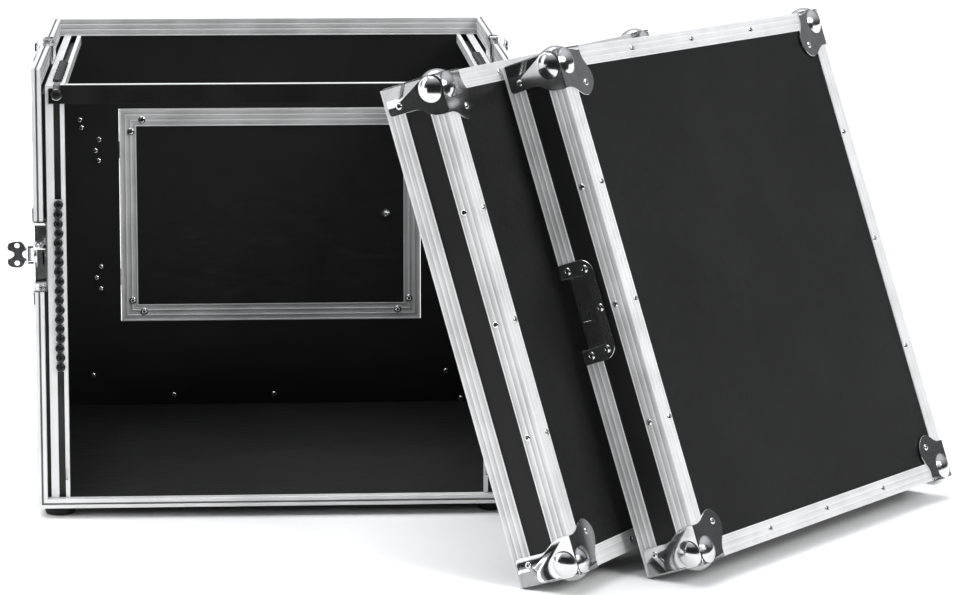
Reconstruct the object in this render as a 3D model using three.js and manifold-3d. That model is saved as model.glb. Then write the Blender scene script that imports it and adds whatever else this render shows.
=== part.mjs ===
// Combination equipment case for 19 inch racks, open at the front and on top, with its two lift-off covers.
// Millimetres, +Z up. Front of the case faces -Y. The origin is the middle of the case's underside.
// The covers stand beside the case and lean against its front right corner.

import * as THREE from 'three';
import { mergeVertices } from 'three/addons/utils/BufferGeometryUtils.js';
import Module from 'manifold-3d';

const wasm = await Module();
wasm.setup();

// ---- driving dimensions ----

const CASE_WIDTH = 517;
const CASE_DEPTH = 538;
const CASE_HEIGHT = 478;
const PLY = 7; // plywood panel thickness
const GAP = 0.3; // clearance between neighbouring pieces
const SKIN = 1.5; // outer face of an extrusion to the panel inside it
const WALL = SKIN - GAP; // wall of every aluminium extrusion
const MEET = 0.15; // overlap that welds two mitred ends together
const SLOT_CENTRE = 232.55; // rack hole line from the middle of the case
const RACK_HEIGHT = 456.5; // top face of the upper rails
const RAIL_SETBACK = 10; // front face of the front rails behind the front plane
const EDGE_WIDTH = 10; // width of the frame extrusions across the panel
const FLANGE = 21; // leg of the frames and edge angles on the outside
const NUT_PITCH = 10.4;
const NUT_COUNT = 18;
const FOOT_HEIGHT = 11;
const FOOT_RADIUS = 17.5;
const BALL_RADIUS = 19;
const BALL_INSET = 12.5;
const CORNER_LEG = 40;
const PLATE = 1.2; // sheet of corners and dishes
const COVER_DEPTH = 70;
const DISH_LENGTH = 105;
const DISH_REACH = 41.5;
const DISH_OPENING = 76;
const LATCH_HEIGHT = 274; // front latches above the underside
const LATCH_FROM_FRONT = 262; // top latches behind the front plane
const FRONT_COVER_POSE = { x: 158.3, y: -562.4, yaw: 58.3, tilt: 18.0 };
const TOP_COVER_POSE = { x: 279.6, y: -502.6, yaw: 51.1, tilt: 19.8 };

const BOTTOM = -SKIN;
const TOP = BOTTOM + CASE_HEIGHT;
const HALF_WIDTH = CASE_WIDTH / 2;
const FRONT = -CASE_DEPTH / 2;
const REAR = CASE_DEPTH / 2;
const FLOOR = BOTTOM - FOOT_HEIGHT;

// ---- materials ----

const aluminium = { color: 0xc9ccd0, roughness: 0.38, metalness: 0.9 };
const laminate = { color: 0x17181a, roughness: 0.5, metalness: 0.0 };
const chrome = { color: 0xd8dadd, roughness: 0.14, metalness: 1.0 };
const zinc = { color: 0xb4b8bc, roughness: 0.3, metalness: 1.0 };
const blackSteel = { color: 0x1b1b1d, roughness: 0.35, metalness: 0.4 };
const rubber = { color: 0x141414, roughness: 0.85, metalness: 0.0 };

// ---- solids ----

function solid(geometry) {
  const bare = geometry.clone();
  bare.deleteAttribute('normal');
  bare.deleteAttribute('uv');
  const merged = mergeVertices(bare, 1e-5);
  return new wasm.Manifold(new wasm.Mesh({
    numProp: 3,
    vertProperties: new Float32Array(merged.attributes.position.array),
    triVerts: new Uint32Array(merged.index.array),
  }));
}

function toGeometry(manifold) {
  const mesh = manifold.getMesh();
  const geometry = new THREE.BufferGeometry();
  geometry.setAttribute('position', new THREE.BufferAttribute(new Float32Array(mesh.vertProperties), 3));
  geometry.setIndex(new THREE.BufferAttribute(new Uint32Array(mesh.triVerts), 1));
  geometry.computeVertexNormals();
  return geometry;
}

function fuse(...solids) {
  return solids.reduce((whole, next) => whole.add(next));
}

function cut(body, ...tools) {
  return tools.reduce((left, tool) => left.subtract(tool), body);
}

// A box between two corners.
function block(x0, x1, y0, y1, z0, z1) {
  const geometry = new THREE.BoxGeometry(x1 - x0, y1 - y0, z1 - z0);
  geometry.translate((x0 + x1) / 2, (y0 + y1) / 2, (z0 + z1) / 2);
  return solid(geometry);
}

// A cylinder from one end to the other along the axis named.
function rod(axis, radius, from, to, centre, sides = 16, endRadius = radius) {
  const geometry = new THREE.CylinderGeometry(endRadius, radius, to - from, sides);
  if (axis === 'x') geometry.rotateZ(-Math.PI / 2);
  if (axis === 'z') geometry.rotateX(Math.PI / 2);
  const middle = (from + to) / 2;
  const place = {
    x: [middle, centre[0], centre[1]],
    y: [centre[0], middle, centre[1]],
    z: [centre[0], centre[1], middle],
  };
  geometry.translate(...place[axis]);
  return solid(geometry);
}

function ball(radius, x, y, z) {
  const geometry = new THREE.SphereGeometry(radius, 12, 8);
  geometry.translate(x, y, z);
  return solid(geometry);
}

// Extrudes an outline in the plane of (first, second) along the run direction, from an origin.
function extrude(outline, length, origin, first, second, run) {
  const ready = outline instanceof THREE.Shape;
  const shape = ready ? outline : new THREE.Shape(outline.map(([a, b]) => new THREE.Vector2(a, b)));
  const geometry = new THREE.ExtrudeGeometry(shape, { depth: length, bevelEnabled: false, curveSegments: 4 });
  const basis = new THREE.Matrix4().makeBasis(
    new THREE.Vector3(...first), new THREE.Vector3(...second), new THREE.Vector3(...run));
  const mirrored = basis.determinant() < 0;
  geometry.applyMatrix4(basis);
  geometry.translate(...origin);
  if (mirrored) flip(geometry);
  return solid(geometry);
}

// Turns every triangle the other way round, after a mirroring.
function flip(geometry) {
  const position = geometry.attributes.position;
  const swap = new THREE.Vector3();
  const other = new THREE.Vector3();
  for (let i = 0; i < position.count; i += 3) {
    swap.fromBufferAttribute(position, i);
    other.fromBufferAttribute(position, i + 1);
    position.setXYZ(i, other.x, other.y, other.z);
    position.setXYZ(i + 1, swap.x, swap.y, swap.z);
  }
}

// Removes everything beyond a plane, on the side its normal points to.
function trim(body, point, normal) {
  const size = 3000;
  const geometry = new THREE.BoxGeometry(size, size, size);
  geometry.translate(0, 0, size / 2);
  const direction = new THREE.Vector3(...normal).normalize();
  geometry.applyQuaternion(new THREE.Quaternion().setFromUnitVectors(new THREE.Vector3(0, 0, 1), direction));
  geometry.translate(...point);
  return body.subtract(solid(geometry));
}

// ---- extrusion profiles: a runs from the outside across the panel, b from the open edge along it ----

// A frame profile: grooved edge face, plain outer flange and a plain or ribbed inner flange.
function frameProfile(innerFlange, innerRibs) {
  const points = [[0, 0], [3.2, 0], [3.2, 2], [5.4, 2], [5.4, 0], [EDGE_WIDTH, 0]];
  const rib = (innerFlange - 2) / Math.max(innerRibs, 1);
  for (let i = 1; i < innerRibs; i += 1) {
    const b = i * rib;
    points.push([EDGE_WIDTH, b], [EDGE_WIDTH - 0.6, b + 0.4], [EDGE_WIDTH - 0.6, b + 1.2], [EDGE_WIDTH, b + 1.6]);
  }
  points.push([EDGE_WIDTH, innerFlange], [EDGE_WIDTH - WALL, innerFlange], [EDGE_WIDTH - WALL, 5]);
  points.push([WALL, 5], [WALL, FLANGE], [0, FLANGE]);
  return points;
}

const frontProfile = frameProfile(12, 1);
const topProfile = frameProfile(20, 4);
const rimProfile = frameProfile(12, 1);

// An angle with one leg on the face of a box and the other on its side; a is inward, b is depth.
function angleProfile(faceLeg, sideLeg) {
  return [[0, 0], [faceLeg, 0], [faceLeg, WALL], [WALL, WALL], [WALL, sideLeg], [0, sideLeg]];
}

// A mitred rectangular frame standing in the XZ plane from (0, 0) to (width, height).
// The profile's a runs inward and its b runs along +Y. Sides are left, right, bottom and top.
function mitredFrame(profile, width, height, sides, over = 0) {
  const bars = {
    left: () => extrude(profile, height + over, [0, 0, 0], [1, 0, 0], [0, 1, 0], [0, 0, 1]),
    right: () => extrude(profile, height + over, [width, 0, 0], [-1, 0, 0], [0, 1, 0], [0, 0, 1]),
    bottom: () => extrude(profile, width, [0, 0, 0], [0, 0, 1], [0, 1, 0], [1, 0, 0]),
    top: () => extrude(profile, width, [0, 0, height], [0, 0, -1], [0, 1, 0], [1, 0, 0]),
  };
  const corners = [
    ['left', 'bottom', [0, 0, 0], [1, 0, -1]],
    ['right', 'bottom', [width, 0, 0], [-1, 0, -1]],
    ['left', 'top', [0, 0, height], [1, 0, 1]],
    ['right', 'top', [width, 0, height], [-1, 0, 1]],
  ];
  const made = {};
  for (const side of sides) made[side] = bars[side]();
  for (const [upright, level, point, normal] of corners) {
    if (!made[upright] || !made[level]) continue;
    const welded = point.map((value, i) => value - normal[i] * MEET);
    made[upright] = trim(made[upright], point, normal);
    made[level] = trim(made[level], welded, normal.map((value) => -value));
  }
  return fuse(...sides.map((side) => made[side]));
}

// ---- placing ----

const object = new THREE.Group();
const casing = new THREE.Group();
object.add(casing);

function put(parent, name, body, finish) {
  const mesh = new THREE.Mesh(toGeometry(body), new THREE.MeshStandardMaterial(finish));
  mesh.name = name;
  parent.add(mesh);
  return mesh;
}

const sidesOf = [['left', -1], ['right', 1]];

function mirrorX(side, x0, x1) {
  return side < 0 ? [-x1, -x0] : [x0, x1];
}

// ---- latch dishes: X is outward from the wall, Y points over the open edge, Z runs along the edge ----

// An outline in (Z, Y), straight along the open edge, with its two far corners rounded.
function dOutline(length, reach, beyond, corner) {
  const half = length / 2;
  const shape = new THREE.Shape();
  shape.moveTo(-half, beyond);
  shape.lineTo(-half, corner - reach);
  shape.absarc(corner - half, corner - reach, corner, Math.PI, 1.5 * Math.PI, false);
  shape.absarc(half - corner, corner - reach, corner, 1.5 * Math.PI, 2 * Math.PI, false);
  shape.lineTo(half, beyond);
  shape.closePath();
  return shape;
}

function dPrism(length, reach, beyond, corner, from, to) {
  const outline = dOutline(length, reach, beyond, corner);
  return extrude(outline, to - from, [from, 0, 0], [0, 0, 1], [0, 1, 0], [1, 0, 0]);
}

const CUP_DEPTH = 13.7;
const CUP_REACH = 31;
const CUP_CORNER = 9;
const FLANGE_CORNER = 16;

// A pressed dish: a flange on the wall and a cup sunk into it, open over the edge.
function dish() {
  const flange = dPrism(DISH_LENGTH, DISH_REACH, 0, FLANGE_CORNER, GAP, PLATE);
  const cup = dPrism(DISH_OPENING, CUP_REACH, 0, CUP_CORNER, -CUP_DEPTH, PLATE);
  const hollow = dPrism(DISH_OPENING - 2, CUP_REACH - 1, 5, CUP_CORNER - 1, -CUP_DEPTH + 1, GAP + 5);
  return cut(fuse(flange, cup), hollow);
}

// The opening that a panel and its extrusion need for a dish.
function dishOpening() {
  return dPrism(DISH_OPENING + 2 * GAP, CUP_REACH + GAP, 5, CUP_CORNER, -CUP_DEPTH - 12, GAP);
}

// Moves a solid made in dish coordinates to a place on a wall.
function onWall(body, origin, outward, over) {
  const x = new THREE.Vector3(...outward);
  const y = new THREE.Vector3(...over);
  const z = new THREE.Vector3().crossVectors(x, y);
  const matrix = new THREE.Matrix4().makeBasis(x, y, z).setPosition(...origin);
  return solid(toGeometry(body).applyMatrix4(matrix));
}

// Turns a solid about an axis along Z through (x, y), counted from X towards Y.
function spin(body, angle, x, y) {
  return solid(toGeometry(body).translate(-x, -y, 0).rotateZ(angle).translate(x, y, 0));
}

// At rest the wings of the front latches stand out and those of the top latches lie folded over the edge.
const latchPlaces = [];
for (const [side, sign] of sidesOf) {
  const x = sign * HALF_WIDTH;
  const outward = [sign, 0, 0];
  latchPlaces.push({ name: `front_${side}`, origin: [x, FRONT, LATCH_HEIGHT], outward, over: [0, -1, 0] });
  const top = [x, FRONT + LATCH_FROM_FRONT, TOP];
  latchPlaces.push({ name: `top_${side}`, origin: top, outward, over: [0, 0, 1], folded: true });
}
const caseOpenings = latchPlaces.map(
  ({ origin, outward, over }) => onWall(dishOpening(), origin, outward, over));

// ---- side handle pockets: X outward, Y up the wall, Z along it ----

const POCKET_LENGTH = 140;
const POCKET_HEIGHT = 90;
const POCKET_DEPTH = 12;
const HANDLE_HEIGHT = 262;
const HANDLE_BACK = 0;

function pocketCut() {
  const high = POCKET_HEIGHT / 2 + GAP;
  const long = POCKET_LENGTH / 2 + GAP;
  return block(-PLY - SKIN - 20, SKIN, -high, high, -long, long);
}

const handlePlaces = sidesOf.map(([side, sign]) => ({
  name: side,
  origin: [sign * (HALF_WIDTH - SKIN), HANDLE_BACK, HANDLE_HEIGHT],
  outward: [sign, 0, 0],
  over: [0, 0, 1],
}));
const handleOpenings = handlePlaces.map(
  ({ origin, outward, over }) => onWall(pocketCut(), origin, outward, over));

// ---- casing panels ----

const inner = HALF_WIDTH - SKIN - PLY;
const panelTop = TOP - 5 - GAP;
const panelFront = FRONT + 5 + GAP;

// The underside is relieved round its edge, where the extrusions, corners and feet bear on it.
const RELIEF = 0.2;
const bottomPanel = fuse(
  block(-inner + GAP, inner - GAP, panelFront, REAR - SKIN, RELIEF, PLY),
  block(-205, 205, FRONT + FLANGE + 2, REAR - FLANGE - 2, 0, 1),
);
put(casing, 'bottom_panel', bottomPanel, laminate);

for (const [side, sign] of sidesOf) {
  const span = mirrorX(sign, inner, HALF_WIDTH - SKIN);
  const wall = block(...span, panelFront, REAR - SKIN, GAP, panelTop);
  put(casing, `${side}_panel`, cut(wall, ...caseOpenings, ...handleOpenings), laminate);
}

const DOOR = { halfWidth: 181.5, low: 109.5, high: 368.5 };
const rearPanel = cut(
  block(-inner + GAP, inner - GAP, REAR - SKIN - PLY, REAR - SKIN, PLY + GAP, panelTop),
  block(-DOOR.halfWidth, DOOR.halfWidth, REAR - 30, REAR + 30, DOOR.low, DOOR.high),
);
put(casing, 'rear_panel', rearPanel, laminate);

// ---- casing frames ----

// The top ring is the same kind of ring laid flat: its b runs down and its open end faces the front.
function layFlat(body) {
  const matrix = new THREE.Matrix4().makeBasis(
    new THREE.Vector3(1, 0, 0), new THREE.Vector3(0, 0, -1), new THREE.Vector3(0, 1, 0));
  return solid(toGeometry(body).applyMatrix4(matrix));
}

const frontRing = mitredFrame(frontProfile, CASE_WIDTH, CASE_HEIGHT, ['left', 'right', 'bottom']);
const topRing = layFlat(mitredFrame(topProfile, CASE_WIDTH, CASE_DEPTH, ['left', 'right', 'top']));
const rings = cut(
  fuse(
    trim(frontRing.translate([-HALF_WIDTH, FRONT, BOTTOM]), [0, FRONT, TOP], [0, 1, 1]),
    trim(topRing.translate([-HALF_WIDTH, FRONT, TOP]), [0, FRONT, TOP - MEET], [0, -1, -1]),
  ),
  ...caseOpenings,
);

// The latches interrupt the two rings, which leaves four pieces of extrusion.
const FAR = 1000;
const lowerFront = rings.intersect(block(-FAR, FAR, FRONT - 1, FRONT + 60, -FAR, LATCH_HEIGHT));
const upperRear = rings.intersect(block(-FAR, FAR, 0, FAR, 300, FAR));
put(casing, 'frame_lower_front', lowerFront, aluminium);
put(casing, 'frame_upper_rear', upperRear, aluminium);
for (const [side, sign] of sidesOf) {
  const corner = rings.intersect(block(...mirrorX(sign, 0, FAR), -FAR, 0, LATCH_HEIGHT, FAR));
  put(casing, `frame_corner_${side}`, corner, aluminium);
}

// A ball corner at a box corner: the three signs point out of the box.
function ballCorner(corner, signs, legs, radius = BALL_RADIUS) {
  const [x, y, z] = corner;
  const [sx, sy, sz] = signs;
  const from = (value, sign, length) => (
    sign > 0 ? [value - length, value + PLATE] : [value - PLATE, value + length]);
  const wide = block(...from(x, sx, legs[0]), ...from(y, sy, legs[1]), ...from(z, sz, legs[2]));
  const hollowOf = (value, sign) => (sign > 0 ? [value - 200, value - 0.01] : [value + 0.01, value + 200]);
  const hollow = block(...hollowOf(x, sx), ...hollowOf(y, sy), ...hollowOf(z, sz));
  const centre = [x - sx * BALL_INSET, y - sy * BALL_INSET, z - sz * BALL_INSET];
  return cut(fuse(wide, ball(radius, ...centre)), hollow);
}

// The five aluminium angles of the body's lower and rear edges, with the two lower rear ball corners.
function caseEdges() {
  const leg = angleProfile(FLANGE, FLANGE);
  const length = CASE_DEPTH - FLANGE - GAP;
  const start = FRONT + FLANGE + GAP;
  const pieces = [];
  for (const [, sign] of sidesOf) {
    const x = sign * HALF_WIDTH;
    pieces.push(extrude(leg, length, [x, start, BOTTOM], [-sign, 0, 0], [0, 0, 1], [0, 1, 0]));
    const high = CASE_HEIGHT - FLANGE - GAP;
    pieces.push(extrude(leg, high, [x, REAR, BOTTOM], [-sign, 0, 0], [0, -1, 0], [0, 0, 1]));
    pieces.push(ballCorner([x, REAR, BOTTOM], [sign, 1, -1], [CORNER_LEG, CORNER_LEG, CORNER_LEG], 16));
  }
  pieces.push(extrude(leg, CASE_WIDTH, [-HALF_WIDTH, REAR, BOTTOM], [0, -1, 0], [0, 0, 1], [1, 0, 0]));
  return fuse(...pieces);
}

put(casing, 'edge_angles', caseEdges(), aluminium);

// ---- rack rails ----

// T slot section: s runs inward from the wall, t back from the rail's face. The slot line is at s 17.45.
const SLOT_S = inner - SLOT_CENTRE;
const railProfile = [
  [5.5, 0], [SLOT_S - 3.5, 0], [SLOT_S - 3.5, 2.5], [SLOT_S - 5.6, 2.5], [SLOT_S - 5.6, 8], [SLOT_S + 5.6, 8],
  [SLOT_S + 5.6, 2.5], [SLOT_S + 3.5, 2.5], [SLOT_S + 3.5, 0], [SLOT_S + 8, 0], [SLOT_S + 8, 10], [9, 10],
  [9, 12], [2.3, 12], [2.3, 32], [GAP, 32], [GAP, 10], [5.5, 10],
];
const RAIL_FRONT = FRONT + RAIL_SETBACK;
const railBottom = BOTTOM + EDGE_WIDTH + GAP;
const railRear = REAR - SKIN - PLY - 1;

for (const [side, sign] of sidesOf) {
  const x = sign * inner;
  const high = RACK_HEIGHT - railBottom;
  const upright = extrude(railProfile, high, [x, RAIL_FRONT, railBottom], [-sign, 0, 0], [0, 1, 0], [0, 0, 1]);
  const deep = railRear - RAIL_FRONT;
  const level = extrude(railProfile, deep, [x, RAIL_FRONT, RACK_HEIGHT], [-sign, 0, 0], [0, 0, -1], [0, 1, 0]);
  const notch = mirrorX(sign, SLOT_CENTRE - 8.5, SLOT_CENTRE);
  const gate = block(...notch, RAIL_FRONT - 1, RAIL_FRONT + 2.6, 28, 40);
  const clearance = latchPlaces.map(({ origin }) => {
    const [cx, cy, cz] = origin;
    const reach = DISH_OPENING / 2 + 1.5;
    return block(...mirrorX(sign, inner - 5.5, HALF_WIDTH), cy - reach, cy + reach, cz - reach, cz + reach);
  });
  const front = trim(upright, [0, RAIL_FRONT, RACK_HEIGHT - GAP], [0, 1, 1]);
  const upper = trim(level, [0, RAIL_FRONT + GAP, RACK_HEIGHT], [0, -1, -1]);
  put(casing, `front_rail_${side}`, cut(front, gate, ...clearance), aluminium);
  put(casing, `top_rail_${side}`, cut(upper, ...clearance), aluminium);
}

// A row of square nuts side by side, each with its screw. Runs along +Z from 0; +Y is into the rail.
function nutRow(count) {
  const pieces = [block(-5, 5, 3, 7.4, 0, count * NUT_PITCH)];
  for (let i = 0; i < count; i += 1) {
    const along = (i + 0.5) * NUT_PITCH;
    pieces.push(block(-2.3, 2.3, -1.6, 3.5, along - 2.3, along + 2.3));
    pieces.push(rod('y', 5.1, -5.8, -1.5, [0, along], 8, 4.3));
  }
  return fuse(...pieces);
}

const rowLength = NUT_COUNT * NUT_PITCH;
const frontRowLow = 240.5 - rowLength / 2;
const topRowFront = { left: -232, right: -166 };

const nutRows = {};
for (const [side, sign] of sidesOf) {
  const upright = nutRow(NUT_COUNT).translate([sign * SLOT_CENTRE, RAIL_FRONT, frontRowLow]);
  put(casing, `front_nuts_${side}`, upright, blackSteel);
  const level = layFlat(nutRow(NUT_COUNT)).translate([sign * SLOT_CENTRE, topRowFront[side], RACK_HEIGHT]);
  put(casing, `top_nuts_${side}`, level, blackSteel);
}

// ---- cross bar over the front, with its two screws ----

const BAR_LOW = 437.5;
const BAR_SCREW = 447.5;
const barFace = RAIL_FRONT - GAP - 2.5;
const crossBar = cut(
  fuse(
    block(-241, 241, barFace, barFace + 2.5, BAR_LOW, 454),
    block(-229, 229, barFace, barFace + 2.5, 453, 457.5),
    block(-223.5, 223.5, barFace, barFace + 15, 455, 457.5),
  ),
  ...[-1, 1].map((sign) => rod('y', 3.3, barFace - 5, barFace + 8, [sign * SLOT_CENTRE, BAR_SCREW], 12)),
);
put(casing, 'cross_bar', crossBar, blackSteel);

for (const [side, sign] of sidesOf) {
  const centre = [sign * SLOT_CENTRE, BAR_SCREW];
  const nutLow = BAR_SCREW - 5;
  const screw = fuse(
    rod('y', 7, barFace - GAP - 2.4, barFace - GAP, centre, 20, 7.6),
    rod('y', 4.2, barFace - GAP - 3.6, barFace - GAP - 2, centre, 16, 5),
    rod('y', 2.8, barFace - GAP - 0.5, RAIL_FRONT + 3.5, centre, 10),
    block(centre[0] - 5, centre[0] + 5, RAIL_FRONT + 3, RAIL_FRONT + 7.4, nutLow, nutLow + 9),
  );
  put(casing, `cross_bar_screw_${side}`, screw, blackSteel);
}

// ---- feet ----

const FOOT_X = 236;
const FOOT_Y = 240;
for (const [end, y] of [['front', -FOOT_Y], ['rear', FOOT_Y - 12]]) {
  for (const [side, sign] of sidesOf) {
    const x = sign * (FOOT_X - (end === 'rear' ? 10 : 0));
    const foot = rod('z', FOOT_RADIUS - 1.5, FLOOR, BOTTOM - PLATE - GAP, [x, y], 24, FOOT_RADIUS);
    put(casing, `foot_${end}_${side}`, foot, rubber);
  }
}

// ---- rear access door ----

const DOOR_PIN = { x: -185.5, y: REAR + 3 };
const hingeHeights = { upper: 318, lower: 163 };
const HINGE_HALF = 23;
const doorOuter = { x: DOOR.halfWidth - 1, low: DOOR.low + 1, high: DOOR.high - 1 };
const wallFace = REAR - SKIN;
const CATCH_X = 139;
const CATCH_Z = 240;

// The door's own frame: an angle round the panel with a wide inner leg, and the door halves of both hinges.
function doorFrame() {
  const high = doorOuter.high - doorOuter.low;
  const everySide = ['left', 'right', 'bottom', 'top'];
  const ring = mitredFrame(angleProfile(20, PLY + SKIN), 2 * doorOuter.x, high, everySide)
    .translate([-doorOuter.x, wallFace - PLY - SKIN, doorOuter.low]);
  const leaves = Object.values(hingeHeights).map((z) => {
    const leaf = [z - HINGE_HALF, z + HINGE_HALF];
    const plate = block(DOOR_PIN.x, DOOR_PIN.x + 32, wallFace, wallFace + SKIN, ...leaf);
    const outerGap = block(DOOR_PIN.x - 5, DOOR_PIN.x + 4.6, wallFace - 2, wallFace + 20, z - 40, z + 40);
    const knuckle = rod('z', 4, z - 10, z + 10, [DOOR_PIN.x, DOOR_PIN.y], 16);
    const web = block(DOOR_PIN.x, DOOR_PIN.x + 6, wallFace, wallFace + SKIN, z - 10, z + 10);
    const bore = rod('z', 2.2, z - 30, z + 30, [DOOR_PIN.x, DOOR_PIN.y], 16);
    return cut(fuse(cut(plate, outerGap), web, knuckle), bore);
  });
  return fuse(ring, ...leaves);
}

put(casing, 'door_frame', doorFrame(), aluminium);

const panelHalf = doorOuter.x - SKIN - GAP;
const panelLow = doorOuter.low + SKIN + GAP;
const panelHigh = doorOuter.high - SKIN - GAP;
const doorPanel = cut(
  block(-panelHalf, panelHalf, wallFace - PLY + GAP, wallFace - GAP, panelLow, panelHigh),
  rod('y', 4, wallFace - 20, wallFace + 5, [CATCH_X, CATCH_Z], 12),
);
put(casing, 'door_panel', doorPanel, laminate);

for (const [level, z] of Object.entries(hingeHeights)) {
  const leaf = [z - HINGE_HALF, z + HINGE_HALF];
  const plate = block(DOOR_PIN.x - 32, DOOR_PIN.x - 4.6, wallFace, wallFace + SKIN, ...leaf);
  const knuckles = [[-HINGE_HALF, -10 - GAP], [10 + GAP, HINGE_HALF]].map(([low, high]) => fuse(
    rod('z', 4, z + low, z + high, [DOOR_PIN.x, DOOR_PIN.y], 16),
    block(DOOR_PIN.x - 6, DOOR_PIN.x, wallFace, wallFace + SKIN, z + low, z + high),
  ));
  const pin = rod('z', 2.1, z - HINGE_HALF, z + HINGE_HALF, [DOOR_PIN.x, DOOR_PIN.y], 16);
  put(casing, `door_hinge_${level}`, fuse(plate, ...knuckles, pin), zinc);
}

// The door's turn catch: a knob and bar outside, on a shaft through the panel with a round head inside.
// The bar hangs down when the door is free.
const doorCatch = fuse(
  rod('y', 5.5, wallFace - PLY - 1.5, wallFace - PLY, [CATCH_X, CATCH_Z], 16),
  rod('y', 3.6, wallFace - PLY - 1, wallFace + 2, [CATCH_X, CATCH_Z], 12),
  block(CATCH_X - 6, CATCH_X + 6, wallFace + GAP, wallFace + 3.5, CATCH_Z - 51, CATCH_Z + 9),
  rod('y', 10, wallFace + 3, wallFace + 9, [CATCH_X, CATCH_Z], 18, 8.5),
);
put(casing, 'door_catch', doorCatch, zinc);

// The bar turns in behind this bracket on the wall, which is open below.
const catchBracket = fuse(
  block(185, 200, wallFace + GAP, wallFace + 1.5, CATCH_Z + 8, CATCH_Z + 24),
  block(185, 200, wallFace + GAP, wallFace + 6.5, CATCH_Z + 8, CATCH_Z + 9.5),
  block(185, 200, wallFace + 5, wallFace + 6.5, CATCH_Z - 7, CATCH_Z + 9.5),
);
put(casing, 'door_catch_bracket', catchBracket, zinc);

// ---- butterfly latches, made in dish coordinates ----

const ROTOR_Y = -19;
const WING_AXIS = 6.5;
const HOOK_TRAVEL = 6;

function latchHook() {
  const plate = block(-11, -9, -29.5, 5.5, -9.5, 9.5);
  const claw = block(-12.5, -3, 3.5, 5.5, -9.5, 9.5);
  const slot = block(-14, -8, ROTOR_Y - HOOK_TRAVEL - 3.3, ROTOR_Y + 3.3, -3.3, 3.3);
  return cut(fuse(plate, claw), slot);
}

function latchRotor() {
  const hub = rod('x', 9.5, -8.6, 1, [ROTOR_Y, 0], 18);
  const spigot = rod('x', 3, -12.4, -8, [ROTOR_Y, 0], 10);
  const lugs = [-1, 1].map((sign) => {
    const [low, high] = sign < 0 ? [-9.8, -7.3] : [7.3, 9.8];
    return block(0, WING_AXIS + 3.2, ROTOR_Y - 3.2, ROTOR_Y + 3.2, low, high);
  });
  const bore = rod('z', 1.7, -12, 12, [WING_AXIS, ROTOR_Y], 8);
  return cut(fuse(hub, spigot, ...lugs), bore);
}

function latchWing() {
  const outline = new THREE.Shape();
  outline.moveTo(WING_AXIS, -6.9);
  outline.lineTo(WING_AXIS + 5.8, -6.9);
  outline.quadraticCurveTo(WING_AXIS + 7, -14.5, 18, -14.5);
  outline.quadraticCurveTo(29.5, -14.5, 29.5, -6);
  outline.quadraticCurveTo(29.5, -1.5, 25, 0);
  outline.quadraticCurveTo(29.5, 1.5, 29.5, 6);
  outline.quadraticCurveTo(29.5, 14.5, 18, 14.5);
  outline.quadraticCurveTo(WING_AXIS + 7, 14.5, WING_AXIS + 5.8, 6.9);
  outline.lineTo(WING_AXIS, 6.9);
  outline.closePath();
  const plate = extrude(outline, 2.4, [0, ROTOR_Y - 1.2, 0], [1, 0, 0], [0, 0, 1], [0, 1, 0]);
  const holes = [-9.5, 9.5].map((z) => rod('y', 2.9, ROTOR_Y - 5, ROTOR_Y + 5, [19, z], 10));
  const barrel = rod('z', 2.9, -7.1, 7.1, [WING_AXIS, ROTOR_Y], 10);
  const pin = rod('z', 1.4, -9.8, 9.8, [WING_AXIS, ROTOR_Y], 8);
  return fuse(cut(plate, ...holes), barrel, pin);
}

for (const { name, origin, outward, over, folded } of latchPlaces) {
  const wing = spin(latchWing(), folded ? Math.PI / 2 : 0, WING_AXIS, ROTOR_Y);
  put(casing, `latch_dish_${name}`, onWall(dish(), origin, outward, over), zinc);
  put(casing, `latch_hook_${name}`, onWall(latchHook(), origin, outward, over), zinc);
  put(casing, `latch_rotor_${name}`, onWall(latchRotor(), origin, outward, over), zinc);
  put(casing, `latch_wing_${name}`, onWall(wing, origin, outward, over), zinc);
}

// ---- recessed side handles: a pocket with a sprung bail ----

const BAIL_X = -5.5;
const BAIL_Y = 30;
const BAIL_HALF = 56;

function handlePocket() {
  const around = (from, to, out) => {
    const high = POCKET_HEIGHT / 2 + out;
    const long = POCKET_LENGTH / 2 + out;
    return block(from, to, -high, high, -long, long);
  };
  const flange = around(GAP, GAP + PLATE, 14);
  const shell = around(-POCKET_DEPTH, GAP + PLATE, 0);
  const hollow = around(-POCKET_DEPTH + PLATE, 20, -PLATE);
  const lugs = [-1, 1].map((sign) => {
    const [low, high] = sign < 0 ? [-BAIL_HALF - 8, -BAIL_HALF - 4.6] : [BAIL_HALF + 4.6, BAIL_HALF + 8];
    return block(-POCKET_DEPTH + 0.5, -1, BAIL_Y - 5, BAIL_Y + 5, low, high);
  });
  const bore = rod('z', 2.3, -BAIL_HALF - 20, BAIL_HALF + 20, [BAIL_X, BAIL_Y], 10);
  const reach = block(-50, 50, -50, 50, -BAIL_HALF - 9, BAIL_HALF + 9);
  return cut(fuse(cut(fuse(flange, shell), hollow), ...lugs), bore.intersect(reach));
}

function handleBail() {
  const arms = [-1, 1].map((sign) => rod('y', 3.6, -24, BAIL_Y, [BAIL_X, sign * BAIL_HALF], 10));
  const grip = rod('z', 5, -BAIL_HALF - 3.6, BAIL_HALF + 3.6, [BAIL_X, -24], 14);
  const pins = rod('z', 1.9, -BAIL_HALF - 8, BAIL_HALF + 8, [BAIL_X, BAIL_Y], 8);
  const middle = block(-20, 20, BAIL_Y - 4, BAIL_Y + 4, -BAIL_HALF + 2, BAIL_HALF - 2);
  return fuse(...arms, grip, cut(pins, middle));
}

for (const { name, origin, outward, over } of handlePlaces) {
  put(casing, `handle_pocket_${name}`, onWall(handlePocket(), origin, outward, over), blackSteel);
  put(casing, `handle_bail_${name}`, onWall(handleBail(), origin, outward, over), zinc);
}

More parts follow.
